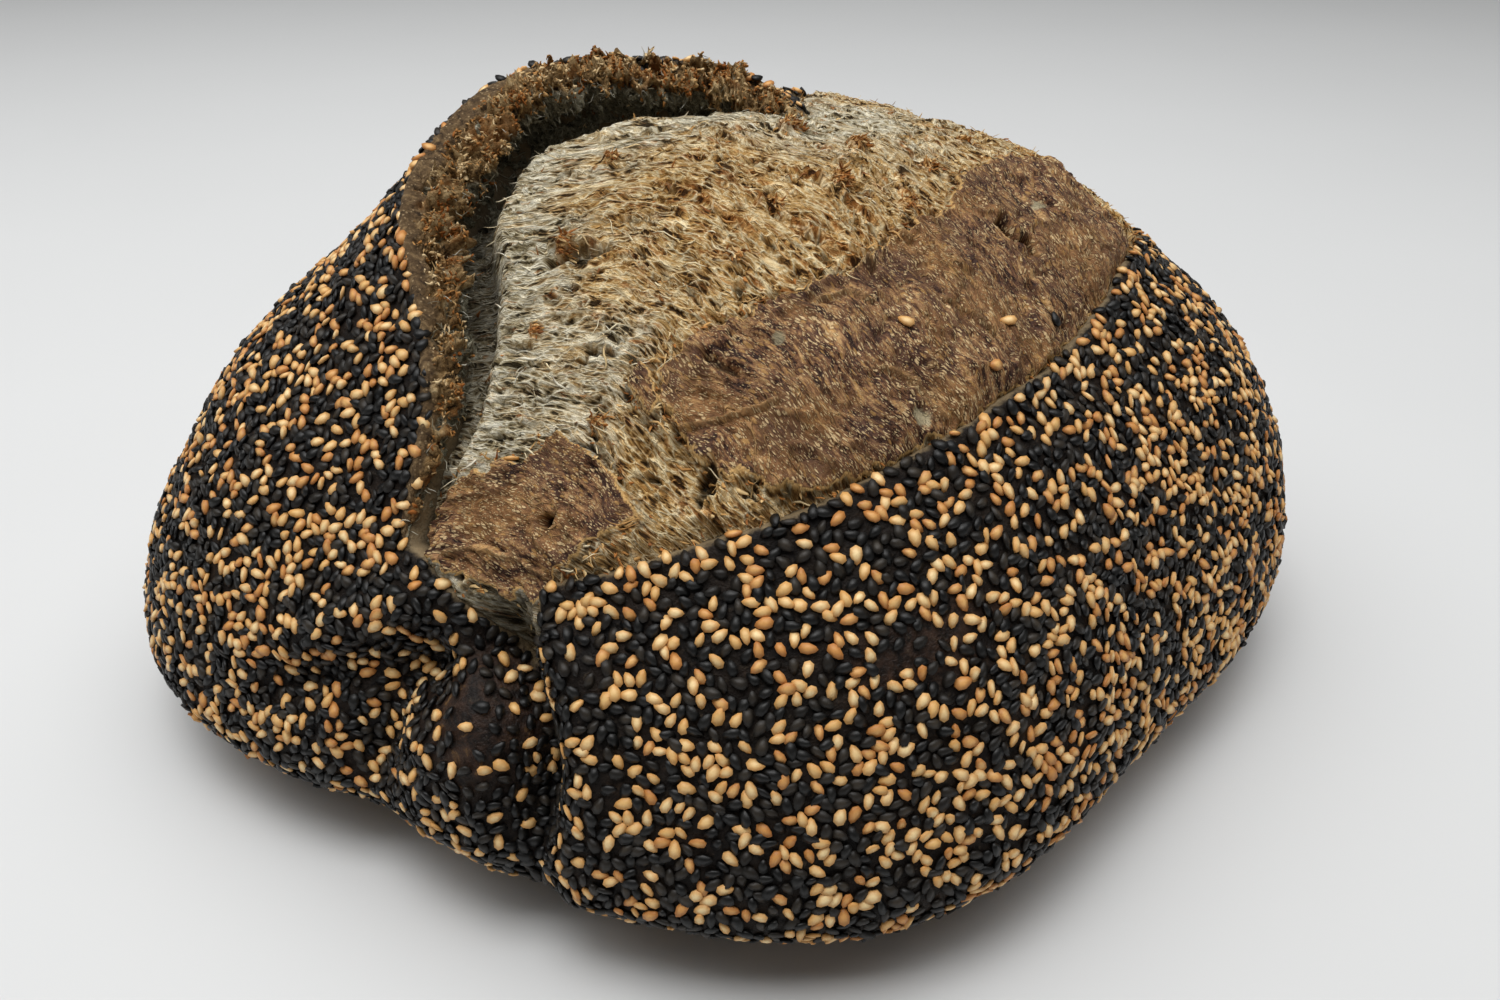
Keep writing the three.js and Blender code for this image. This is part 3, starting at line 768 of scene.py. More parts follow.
# the ear is the slash's left lip, with its torn fringe and the hollow under it
earMake = {
    "stations": 640, "points": 118,
    "lipWidth": 4.6, "lipFall": 2.5, "fringeReach": 9.5, "fringeFall": 6.0, "gapDepth": 9.5,
    "crag": 2.9, "cragSize": 3.0, "skirt": 2.4,
    "backFrom": 0.5, "backTo": 0.62, "cornerAt": 0.5, "cornerReach": 0.5, "leftCut": 0.32,
}


def earStations():
    line = smoothPath(earLine, earMake["stations"])
    ahead, behind = np.roll(line, -1, 0), np.roll(line, 1, 0)
    ahead[-1], behind[0] = line[-1], line[0]
    way = unit((ahead - behind)[:, :2])
    across = np.stack([way[:, 1], -way[:, 0]], -1)
    turn, climb = anglesOver(line[:, 0], line[:, 1])
    foot, up = roundPoint(turn, climb), roundNormal(turn, climb)
    beside = roundPoint(*anglesOver(line[:, 0] + across[:, 0], line[:, 1] + across[:, 1])) - foot
    beside = unit(beside - up * (beside * up).sum(-1, keepdims=True))
    return line, foot + up * swellHeight(foot)[:, None], up, beside


def earSection(rise, size, reach, back):
    # points (distance to the right, height) of the visible skin from the crest to the hollow's floor
    made = earMake
    rampWidth = crustMake["rampWidth"] * (0.3 + 0.7 * size)
    ramp = rise * (1 - made["skirt"] / rampWidth) ** crustMake["rampPower"]
    lip, fall = made["lipWidth"] * size * reach * (1 - 0.35 * back), made["lipFall"] * size
    tip, drop = made["fringeReach"] * size * reach, made["fringeFall"] * size
    floor = made["gapDepth"] * size
    return [
        (-made["skirt"], ramp - 0.7), (-0.9, rise - 0.1), (0.5 * size, rise + 0.3 * size),
        (0.5 * lip, rise - 0.35 * fall), (lip, rise - fall),
        (0.88 * tip, rise - 0.62 * drop), (tip, rise - drop), (0.9 * tip, rise - 1.28 * drop),
        (0.62 * tip, rise - 1.42 * drop), (2.6 * size, rise - 1.5 * drop - 1),
        (1.4 * size, -4 * size), (2.4 * size, -floor), (6.0 * size, -floor - 1.5 * size - 0.6),
    ]


def makeEar():
    made = earMake
    line, foot, up, beside = earStations()
    rise, size = line[:, 2], np.maximum(earSize(line[:, 2]), 0.14)
    stationPlace = np.stack([line[:, 0], line[:, 1], np.zeros(len(line))], -1)
    station = np.linspace(0, 1, len(line))
    reach = 1 + 0.34 * wave(stationPlace, 8, 4.0) + 0.26 * wave(stationPlace, 2.6, 1.0)
    reach += made["cornerReach"] * bell(station - made["cornerAt"], 0.09)
    reach *= 1 - made["leftCut"] * (1 - smoothStep(0.28, 0.44, station))
    back = smoothStep(made["backFrom"], made["backTo"], station)
    rows, count = len(line), made["points"]
    sections = np.array([smoothPath(earSection(*one), count) for one in zip(rise, size, reach, back)])
    slope = np.gradient(sections, axis=1)
    away = unit(np.stack([-slope[..., 1], slope[..., 0]], -1))

    def toSpace(flat):
        return foot[:, None] + beside[:, None] * flat[..., :1] + up[:, None] * flat[..., 1:]

    points = toSpace(sections).reshape(-1, 3)
    share = np.tile(np.linspace(0, 1, count), (rows, 1)).ravel()
    wholeBack = np.repeat(back, count)
    bent = points + np.stack([wave(points, 4.0, shift) for shift in (1.0, 2.0, 3.0)], -1)
    nearest, second = cells(bent, made["cragSize"])
    finer, finerSecond = cells(bent, 0.45 * made["cragSize"], 5.0)
    honeycomb = 1 - smoothStep(0.0, 0.5, second - nearest)
    fineComb = 1 - smoothStep(0.0, 0.5, finerSecond - finer)
    broken = smoothStep(-0.35, 0.25, wave(points, 5.0, 6.0))
    pitted = cells(bent, 1.5 * made["cragSize"], 11.0)[0]
    pit = (1 - smoothStep(0.24, 0.52, pitted)) * smoothStep(-0.3, 0.05, wave(points, 6.0, 13.0))
    rough = 0.9 * wave(points, 3.4, 3.0) + 0.6 * wave(points, 1.3, 8.0) + 0.5 * wave(points, 0.75, 2.0)
    tornFrom = 0.27 - 0.16 * wholeBack
    tornEdge = 0.07 * wave(points, 3.1, 5.0) + 0.05 * wave(points, 1.2, 7.0)
    torn = smoothStep(-0.02, 0.1, share - tornFrom + tornEdge)
    deep = smoothStep(0.62, 0.8, share)
    hollow = smoothStep(0.46, 0.66, share + 0.03 * wholeBack + 0.1 * wave(points, 4.0, 9.0))
    hollow = np.maximum(hollow, 0.9 * pit * torn)
    amount = (0.1 + torn * made["crag"] * (1 - 0.35 * deep)) * np.repeat(size, count)
    comb = broken * (0.9 * honeycomb + 0.5 * fineComb - 0.45) - 1.9 * pit
    push = amount * smoothStep(0, 0.06, share) * (torn * comb + rough)
    moved = sections + away * push.reshape(rows, count)[..., None]
    moved[:, -1, 1] -= 1.0
    backing = np.stack([
        np.stack([4.0 * size, -(made["gapDepth"] + 4) * size - 1], -1),
        np.stack([np.full(rows, -3.0), np.full(rows, -6.0)], -1),
        np.stack([np.full(rows, -4.5), rise * 0.55 - 2.5], -1),
    ], 1)
    rings = toSpace(np.concatenate([moved, backing, moved[:, :1]], 1))
    columns = rings.shape[1]
    bm = bmesh.new()
    bmesh.ops.create_grid(bm, x_segments=columns - 1, y_segments=rows - 1, size=1)
    spots = (np.array([v.co[:2] for v in bm.verts]) + 1) / 2
    column = np.rint(spots[:, 0] * (columns - 1)).astype(int)
    row = np.rint(spots[:, 1] * (rows - 1)).astype(int)
    hidden = np.zeros((rows, columns - count))
    values = {
        "share": np.hstack([share.reshape(rows, count), hidden + 0.9])[row, column],
        "torn": np.hstack([torn.reshape(rows, count), hidden])[row, column],
        "comb": np.hstack([(broken * honeycomb).reshape(rows, count), hidden])[row, column],
        "hollow": np.hstack([hollow.reshape(rows, count), hidden + 1])[row, column],
    }
    layers = {name: bm.verts.layers.float.new(name) for name in values}
    unwrap = bm.loops.layers.uv.new("OFBake")
    for i, (vert, point) in enumerate(zip(bm.verts, rings[row, column] * mm)):
        vert.co = point
        vert.index = i
        for name, layer in layers.items():
            vert[layer] = values[name][i]
    for face in bm.faces:
        for loop in face.loops:
            loop[unwrap].uv = spots[loop.vert.index]
    bmesh.ops.remove_doubles(bm, verts=bm.verts, dist=1e-7)
    bmesh.ops.holes_fill(bm, edges=[e for e in bm.edges if e.is_boundary])
    bmesh.ops.triangulate(bm, faces=[f for f in bm.faces if len(f.verts) > 4])
    bmesh.ops.recalc_face_normals(bm, faces=bm.faces)
    return newPiece("ear", bm)


ear = makeEar()


seedMake = {
    "gap": 1.8, "tries": 250000, "length": (2.65, 3.4), "widthShare": 0.6, "thickShare": 0.3,
    "intoSlash": 0.9, "lowest": 1.9, "lowShift": 0.07, "knuckleShift": 0.2,
    "point": 0.45, "sink": 0.1, "tilt": 0.2, "turns": 7,
}

# share of all seeds, the darkest and the lightest seed, and the tips, whose colour also paints shade on each
# seed's lower side
seedKinds = {
    "black_seeds": {
        "share": 0.27, "slot": "black_seed", "finish": "blackSesame", "roughness": 0.44, "shine": 0.36,
        "dark": (9, 9, 9), "light": (26, 25, 23), "tip": (12, 11, 10),
    },
    "charcoal_seeds": {
        "share": 0.27, "slot": "black_seed", "finish": "charcoalSesame", "roughness": 0.48, "shine": 0.32,
        "dark": (24, 21, 18), "light": (58, 51, 42), "tip": (24, 20, 16),
    },
    "golden_seeds": {
        "share": 0.3, "slot": "golden_seed", "finish": "goldenSesame", "roughness": 0.45, "shine": 0.3,
        "dark": (228, 184, 118), "light": (252, 226, 172), "tip": (206, 148, 80),
    },
    "toasted_seeds": {
        "share": 0.16, "slot": "golden_seed", "finish": "toastedSesame", "roughness": 0.45, "shine": 0.3,
        "dark": (208, 148, 82), "light": (236, 188, 120), "tip": (176, 112, 56),
    },
}

# seeds that fell on the crumb: kind and place in plan
strayPlaces = [
    ("golden_seeds", (30.8, -56.5)), ("golden_seeds", (51.8, -46.3)), ("toasted_seeds", (47.1, -58.9)),
    ("golden_seeds", (-39.6, -71.9)), ("black_seeds", (61.8, -40.6)),
]


def scatterOn(piece, count, weigh):
    # random places on a mesh, even over its area: point, outward direction and attribute value
    mesh = piece.data
    mesh.calc_loop_triangles()
    corners = np.empty(3 * len(mesh.loop_triangles), np.int32)
    mesh.loop_triangles.foreach_get("vertices", corners)
    corners = corners.reshape(-1, 3)
    points = meshPoints(piece) / mm
    outward = np.empty(3 * len(points), np.float32)
    mesh.vertex_normals.foreach_get("vector", outward)
    outward = outward.reshape(-1, 3).astype(float)
    a, b, c = points[corners[:, 0]], points[corners[:, 1]], points[corners[:, 2]]
    area = np.linalg.norm(np.cross(b - a, c - a), axis=1) * weigh(corners, points)
    chosen = np.searchsorted(np.cumsum(area) / area.sum(), draws.random(count))
    chosen = corners[np.minimum(chosen, len(corners) - 1)]
    share = np.sort(draws.random((count, 2)), 1)
    shares = np.stack([share[:, 0], share[:, 1] - share[:, 0], 1 - share[:, 1]], -1)[..., None]

    def between(values):
        return (values[chosen] * shares.reshape(shares.shape[:values.ndim + 1])).sum(1)

    return between(points), unit(between(outward)), between


def keepApart(points, gap):
    # takes the points in turn and keeps those that are no nearer to a kept one than the gap
    taken, home = {}, np.floor(points / gap.max()).astype(int).tolist()
    around = [(i, j, k) for i in (-1, 0, 1) for j in (-1, 0, 1) for k in (-1, 0, 1)]
    kept = []
    for index, ((px, py, pz), (x, y, z)) in enumerate(zip(points.tolist(), home)):
        least = gap[index] ** 2
        clear = True
        for i, j, k in around:
            for ox, oy, oz in taken.get((x + i, y + j, z + k), ()):
                if (px - ox)**2 + (py - oy)**2 + (pz - oz)**2 < least:
                    clear = False
                    break
            if not clear:
                break
        if clear:
            taken.setdefault((x, y, z), []).append((px, py, pz))
            kept.append(index)
    return np.array(kept)


def liePlaces(points, outward, length):
    # turns each seed so that it overlaps the seeds laid before it least
    first = unit(np.cross(outward, np.where(np.abs(outward[:, 2:]) < 0.9, [(0, 0, 1)], [(1, 0, 0)])))
    second = np.cross(outward, first)
    turns = seedMake["turns"]
    angles = draws.random((len(points), 1)) * math.pi + np.arange(turns) * math.pi / turns
    ways = first[:, None] * np.cos(angles)[..., None] + second[:, None] * np.sin(angles)[..., None]
    cell = 3.2
    clearance = 1.6
    home = [tuple(c) for c in np.floor(points / cell).astype(int).tolist()]
    laid, chosen = {}, np.zeros((len(points), 3))
    around = [(i, j, k) for i in (-1, 0, 1) for j in (-1, 0, 1) for k in (-1, 0, 1)]
    spots = np.array([-0.33, 0.0, 0.33])
    for index, (x, y, z) in enumerate(home):
        near = [n for i, j, k in around for n in laid.get((x + i, y + j, z + k), ())]
        pick = 0
        if near:
            reach = chosen[near][:, None] * spots[:, None] * length[near][:, None, None]
            theirs = points[near][:, None] + reach
            mine = points[index] + ways[index][:, None] * spots[:, None] * length[index]
            far = np.linalg.norm(mine[:, :, None] - theirs.reshape(-1, 3), axis=-1)
            pick = int(np.argmin((np.clip(clearance - far, 0, None) ** 2).sum((1, 2))))
        chosen[index] = ways[index][pick]
        laid.setdefault((x, y, z), []).append(index)
    flip = np.where(draws.random(len(points)) < 0.5, -1.0, 1.0)
    return chosen * flip[:, None]


def shapeOf(bm):
    orderMesh(bm)
    points = np.array([v.co[:] for v in bm.verts])
    faces = [[v.index for v in f.verts] for f in bm.faces]
    bm.free()
    return points, faces


def seedShape():
    # a flat drop with its butt at -X, 32 triangles
    bm = bmesh.new()
    bmesh.ops.create_uvsphere(bm, u_segments=8, v_segments=3, radius=1)
    points, faces = shapeOf(bm)
    points[:, :2] /= np.hypot(points[:, 0], points[:, 1]).max()
    points[:, 1] *= 1 - seedMake["point"] * (0.5 + 0.5 * points[:, 0])
    points[:, 1] /= np.abs(points[:, 1]).max()
    return points, faces


def joinCopies(name, points, outward, way, local, form, faces, tone):
    # one mesh of many small closed shapes, each given by its own points in its own place and way
    side = np.cross(outward, way)
    placed = points[:, None] + way[:, None] * local[..., :1] + side[:, None] * local[..., 1:2]
    placed = (placed + outward[:, None] * local[..., 2:]).reshape(-1, 3)
    each, count = len(form), len(points)
    sizes = np.tile([len(f) for f in faces], count)
    corners = (np.concatenate(faces)[None] + each * np.arange(count)[:, None]).ravel()
    mesh = bpy.data.meshes.new(name)
    mesh.vertices.add(len(placed))
    mesh.vertices.foreach_set("co", (placed * mm).astype(np.float32).ravel())
    mesh.loops.add(len(corners))
    mesh.loops.foreach_set("vertex_index", corners.astype(np.int32))
    mesh.polygons.add(len(sizes))
    mesh.polygons.foreach_set("loop_start", np.append(0, np.cumsum(sizes)[:-1]).astype(np.int32))
    mesh.polygons.foreach_set("use_smooth", np.ones(len(sizes), bool))
    mesh.update()
    piece = bpy.data.objects.new(name, mesh)
    bpy.context.scene.collection.objects.link(piece)
    paintOn(piece, "tone", np.repeat(tone, each))
    paintOn(piece, "lengthwise", np.tile(form[:, 0], count))
    paintOn(piece, "upwards", np.tile(form[:, 2], count))
    columns = math.ceil(math.sqrt(count))
    cell = np.stack([np.arange(count) % columns, np.arange(count) // columns], -1)[:, None]
    layOut(piece, "OFBake", ((cell + 0.5 + 0.42 * form[None, :, :2]) / columns).reshape(-1, 2))
    return piece


def crustWeight(corners, points):
    middle = points[corners].mean(1)
    hidden = readFrom(crust, "inSlash")[corners].max(1) > seedMake["intoSlash"]
    hidden |= middle[:, 2] < seedMake["lowest"]
    onKnuckle, onStreak = bareHere(middle)
    return np.where(hidden, 0.0, np.clip(1 - 0.97 * onKnuckle - 0.9 * onStreak, 0.02, 1) ** 2)


def straySeeds():
    tree = BVHTree.FromObject(bloom, bpy.context.evaluated_depsgraph_get())
    found = [tree.ray_cast((x * mm, y * mm, 0.2), (0, 0, -1)) for kind, (x, y) in strayPlaces]
    return np.array([hit[0][:] for hit in found]) / mm, np.array([hit[1][:] for hit in found])


def sowSeeds():
    made = seedMake
    points, outward, between = scatterOn(crust, made["tries"], crustWeight)
    gap = made["gap"] * (1 + 0.2 * np.clip(wave(points, 9, 2.0), 0, 1))
    gap = gap * (1 + 1.1 * bareHere(points)[0])
    kept = keepApart(points, gap)
    strays, strayUp = straySeeds()
    points, outward = np.vstack([strays, points[kept]]), np.vstack([strayUp, outward[kept]])
    count = len(points)
    length = draws.uniform(*made["length"], count)
    width = length * made["widthShare"] * draws.uniform(0.9, 1.1, count)
    thick = length * made["thickShare"] * draws.uniform(0.9, 1.12, count)
    way = liePlaces(points, outward, length)
    lean = unit(outward + made["tilt"] * draws.normal(size=outward.shape))
    way = unit(way - lean * (way * lean).sum(-1, keepdims=True))
    points = points + outward * ((0.5 - made["sink"]) * thick + 0.18 * draws.random(count))[:, None]
    low = made["lowShift"] * (1 - smoothStep(20, 75, points[:, 2])) * (1 - smoothStep(0, 50, points[:, 0]))
    low += 0.05 * wave(points, 14, 4.0)
    low += made["knuckleShift"] * bell(np.linalg.norm(points - bareSpots["knuckle"], axis=1), 26)
    low += made["knuckleShift"] * bell(distanceTo(foldPaths[3][0], points)[0], 7)
    pick = np.clip(draws.random(count) - low, 0, 0.9999)
    kinds = np.searchsorted(np.cumsum([kind["share"] for kind in seedKinds.values()]), pick)
    kinds[:len(strayPlaces)] = [list(seedKinds).index(name) for name, place in strayPlaces]
    print("seeds", count)
    form, faces = seedShape()
    local = form[None] * np.stack([length / 2, width / 2, thick / 2], -1)[:, None]
    for index, (name, kind) in enumerate(seedKinds.items()):
        mine = kinds == index
        tone = draws.random(mine.sum())
        piece = joinCopies(name, points[mine], lean[mine], way[mine], local[mine], form, faces, tone)
        finishPiece(piece, makeSeedFinish(kind))


# stand: 0 lies along the strands, 1 sticks out; root: share of the length behind the shred's place;
# colours: from the first tone to the last, and "dark" at the root
shredKinds = {
    "crumb_threads": {
        "count": 500, "sides": 4, "rings": 7, "length": (2.0, 6.5), "width": (0.22, 0.6), "flat": 0.45,
        "stand": 0.0, "wander": 0.45, "root": 0.5, "taper": 0.3, "bend": 0.18, "arch": 0.07, "curl": 0.02,
        "sink": 0.15, "ragged": 0.6, "finish": "crumbThreads", "dark": (120, 94, 58),
        "colours": [(226, 220, 200), (236, 222, 186), (220, 190, 136), (184, 132, 72)],
    },
    "crumb_shreds": {
        "count": 1500, "sides": 5, "rings": 4, "length": (1.0, 3.0), "width": (0.45, 1.1), "flat": 0.22,
        "stand": 0.3, "wander": 0.4, "root": 0.2, "taper": 0.6, "bend": 0.15, "arch": 0.0, "curl": 0.2,
        "sink": 0.1, "ragged": 0.9, "finish": "crumbShreds", "dark": (100, 66, 34),
        "colours": [(226, 196, 142), (204, 158, 96), (176, 116, 58), (132, 82, 44)],
    },
    "ear_shreds": {
        "count": 5200, "sides": 4, "rings": 4, "length": (0.7, 2.0), "width": (0.45, 1.2), "flat": 0.45,
        "stand": 0.3, "wander": 0.8, "root": 0.35, "taper": 0.3, "bend": 0.25, "arch": 0.0, "curl": 0.25,
        "sink": 0.2, "ragged": 1.2, "finish": "fringeShreds", "dark": (66, 47, 27),
        "colours": [(226, 200, 154), (186, 152, 102), (170, 118, 62), (150, 90, 38)],
    },
    "hollow_fibres": {
        "count": 2600, "sides": 4, "rings": 5, "length": (1.0, 3.2), "width": (0.2, 0.45), "flat": 0.6,
        "stand": 0.45, "wander": 0.6, "root": 0.1, "taper": 0.6, "bend": 0.25, "arch": 0.0, "curl": 0.25,
        "sink": 0.1, "ragged": 0.6, "finish": "hollowFibres", "dark": (60, 56, 45),
        "colours": [(224, 221, 204), (178, 172, 152), (138, 130, 106), (104, 96, 76)],
    },
}


def meanFacts(corners):
    return {name: values[corners].mean(1) for name, values in bloomFacts.items()}


def threadWeight(corners, points):
    facts = meanFacts(corners)
    weight = (0.5 + 0.8 * facts["crest"] + 1.2 * facts["frayed"]) * (1 - 0.97 * facts["skin"])
    weight *= (1 - smoothStep(0.1, 0.5, facts["deep"]))
    return np.where(facts["inSlash"] < 1.5, 0.0, weight)


def shredWeight(corners, points):
    facts = meanFacts(corners)
    clumps = smoothStep(0.1, 0.4, wave(points[corners].mean(1), 7, 8.0))
    weight = 0.02 + 0.9 * facts["frayed"] ** 2 + facts["crest"] ** 2 * (1 - facts["grey"]) * clumps
    weight += 6 * facts["lump"]
    weight += 0.5 * bell(facts["fromEdge"] - 2, 1.5)
    return np.where(facts["inSlash"] < 1.0, 0.0, weight * (1 - facts["skin"]))


def earFact(name, corners):
    return readFrom(ear, name)[corners].mean(1)


def fringeWeight(corners, points):
    clumps = 0.12 + smoothStep(-0.1, 0.3, wave(points[corners].mean(1), 3.2, 3.0))
    return earFact("torn", corners) * (1 - 0.97 * earFact("hollow", corners)) * clumps


def hollowWeight(corners, points):
    return earFact("hollow", corners) * (earFact("share", corners) < 0.86)


def sowShreds(name, carrier, weigh, along=None, shade=None):
    made = shredKinds[name]
    count = made["count"]
    points, outward, between = scatterOn(carrier, count, weigh)
    bm = bmesh.new()
    bmesh.ops.create_uvsphere(bm, u_segments=made["sides"], v_segments=made["rings"], radius=1)
    bmesh.ops.rotate(bm, verts=bm.verts, matrix=Matrix.Rotation(math.pi / 2, 3, "Y"))
    form, faces = shapeOf(bm)
    lying = draws.normal(size=points.shape) if along is None else between(along)
    noisy = draws.normal(size=(2,) + points.shape)
    way = unit(unit(lying) * (1 - made["stand"]) + outward * made["stand"] + made["wander"] * noisy[0])
    above = outward + made["stand"] * noisy[1]
    above = unit(above - way * (above * way).sum(-1, keepdims=True))
    length = draws.uniform(*made["length"], count)[:, None]
    width = draws.uniform(*made["width"], count)[:, None]
    at = (form[None, :, 0] + 1) / 2
    slim = (1 - made["taper"] * at) * (1 + made["ragged"] * (draws.random((count, len(form))) - 0.5))
    bend, curl, phase = draws.normal(size=(3, count, 1))
    arch = made["arch"] * np.abs(draws.normal(size=(count, 1))) * 4 * at * (1 - at)
    sideways = made["bend"] * (bend * at**2 + 0.4 * np.sin(math.tau * (at + phase)))
    upwards = made["curl"] * curl * at**2 + arch
    local = np.stack([
        length * (at - made["root"]),
        form[None, :, 1] * width / 2 * slim + length * sideways,
        form[None, :, 2] * width / 2 * made["flat"] * slim + length * upwards - made["sink"],
    ], -1)
    tone = draws.random(count)
    if shade is not None:
        tone = np.clip(between(shade) + 0.7 * (tone - 0.5), 0, 1)
    finishPiece(joinCopies(name, points, above, way, local, form, faces, tone), makeTornFinish(made))


# in each list the first colour, then the later ones with the two amounts that they blend in between
crustColours = {
    # the crust between the seeds: its own dark brown, painted darker still as painted shade between the seeds
    "bakedAndShaded": [(15, 11, 9), (0.35, 0.6, (32, 24, 18)), (0.6, 0.72, (56, 42, 30))],
    "glazed": [(22, 16, 13), (0.35, 0.6, (56, 40, 31)), (0.6, 0.7, (100, 74, 46))],
    # the last colour is painted shade on the crust that lies deep in the gap under the bloom
    "dust": (112, 98, 80), "crumbEdge": ((74, 62, 46), (150, 130, 98)), "underBloom": (40, 36, 28),
}


def makeCrustFinish():
    finish = Finish("bakedCrust", roughness=0.55, specular=0.18)
    paints = crustColours
    at = finish.place()
    # the crust under the seeds is painted near black: its own brown with painted shade between the seeds
    colour = finish.steps(finish.grain(at, 5, 4, 0.6), *paints["bakedAndShaded"])
    bareSkin = finish.attribute("bareSkin")
    streaks = finish.grain(finish.bent(at, 6, 5), 2.6, 4, 0.6)
    colour = finish.blend(bareSkin.between(0.2, 0.6), colour, finish.steps(streaks, *paints["glazed"]))
    dust = finish.grain(at, 1.6, 5, 0.7).between(0.56, 0.74)
    colour = finish.blend(dust * 0.3, colour, paints["dust"])
    inSlash = finish.attribute("inSlash")
    crumbEdge = finish.blend(streaks, *paints["crumbEdge"])
    # deeper under the bloom the crust is painted dark: painted shade in the gap
    crumbEdge = finish.blend(inSlash.between(1.2, 2.5), crumbEdge, paints["underBloom"])
    edge = (inSlash + (finish.grain(at, 1.5, 3) - 0.5) * 2.2).between(-0.2, 0.9)
    finish.feed("Base Color", finish.blend(edge, colour, crumbEdge))
    finish.feed("Roughness", 0.6 - bareSkin * 0.22 + dust * 0.2)
    finish.feed("Normal", finish.bump(finish.grain(at, 0.8, 4, 0.6) + streaks * 0.6, 0.5))
    return finish.material


# the straw, pale and rusty ramps follow the weave: their dark ends are painted shade in the gaps and open
# cells, the top steps of straw and pale are painted highlight on the raised strands, over the crumb's own
# tones
crumbColours = {
    "straw": [
        (60, 40, 18), (0.26, 0.38, (142, 102, 52)),
        (0.38, 0.5, (200, 158, 96)), (0.5, 0.74, (250, 226, 176))],
    "pale": [
        (60, 51, 34), (0.26, 0.38, (140, 124, 90)),
        (0.38, 0.5, (196, 182, 148)), (0.5, 0.74, (250, 244, 222))],
    "rusty": [(66, 36, 14), (0.28, 0.42, (150, 92, 40)), (0.46, 0.72, (226, 170, 98))],
    "nearCrust": ((44, 32, 18), (168, 134, 84)), "shaded": ((84, 60, 34), (80, 73, 56)),
    # loops is partly painted highlight on the cell-wall rims; the other three are painted shade in pores and
    # holes, just outside the skins' edges, and in the gap under the ear and at the front groove
    "loops": (250, 234, 196), "poreShade": (40, 30, 18), "underSkinShade": (58, 40, 24), "gap": (50, 46, 38),
}

skinColours = {
    "hide": [
        (46, 28, 22), (0.28, 0.45, (100, 68, 48)),
        (0.46, 0.63, (144, 106, 72)), (0.63, 0.83, (196, 156, 106))],
    "warm": (154, 110, 62), "dark": (74, 50, 41), "ovals": (192, 148, 88), "flecks": (226, 196, 148),
    "creases": (190, 150, 100), "rim": (214, 172, 110), "windows": ((120, 112, 88), (196, 184, 150)),
    "holeShade": (34, 25, 16),
}


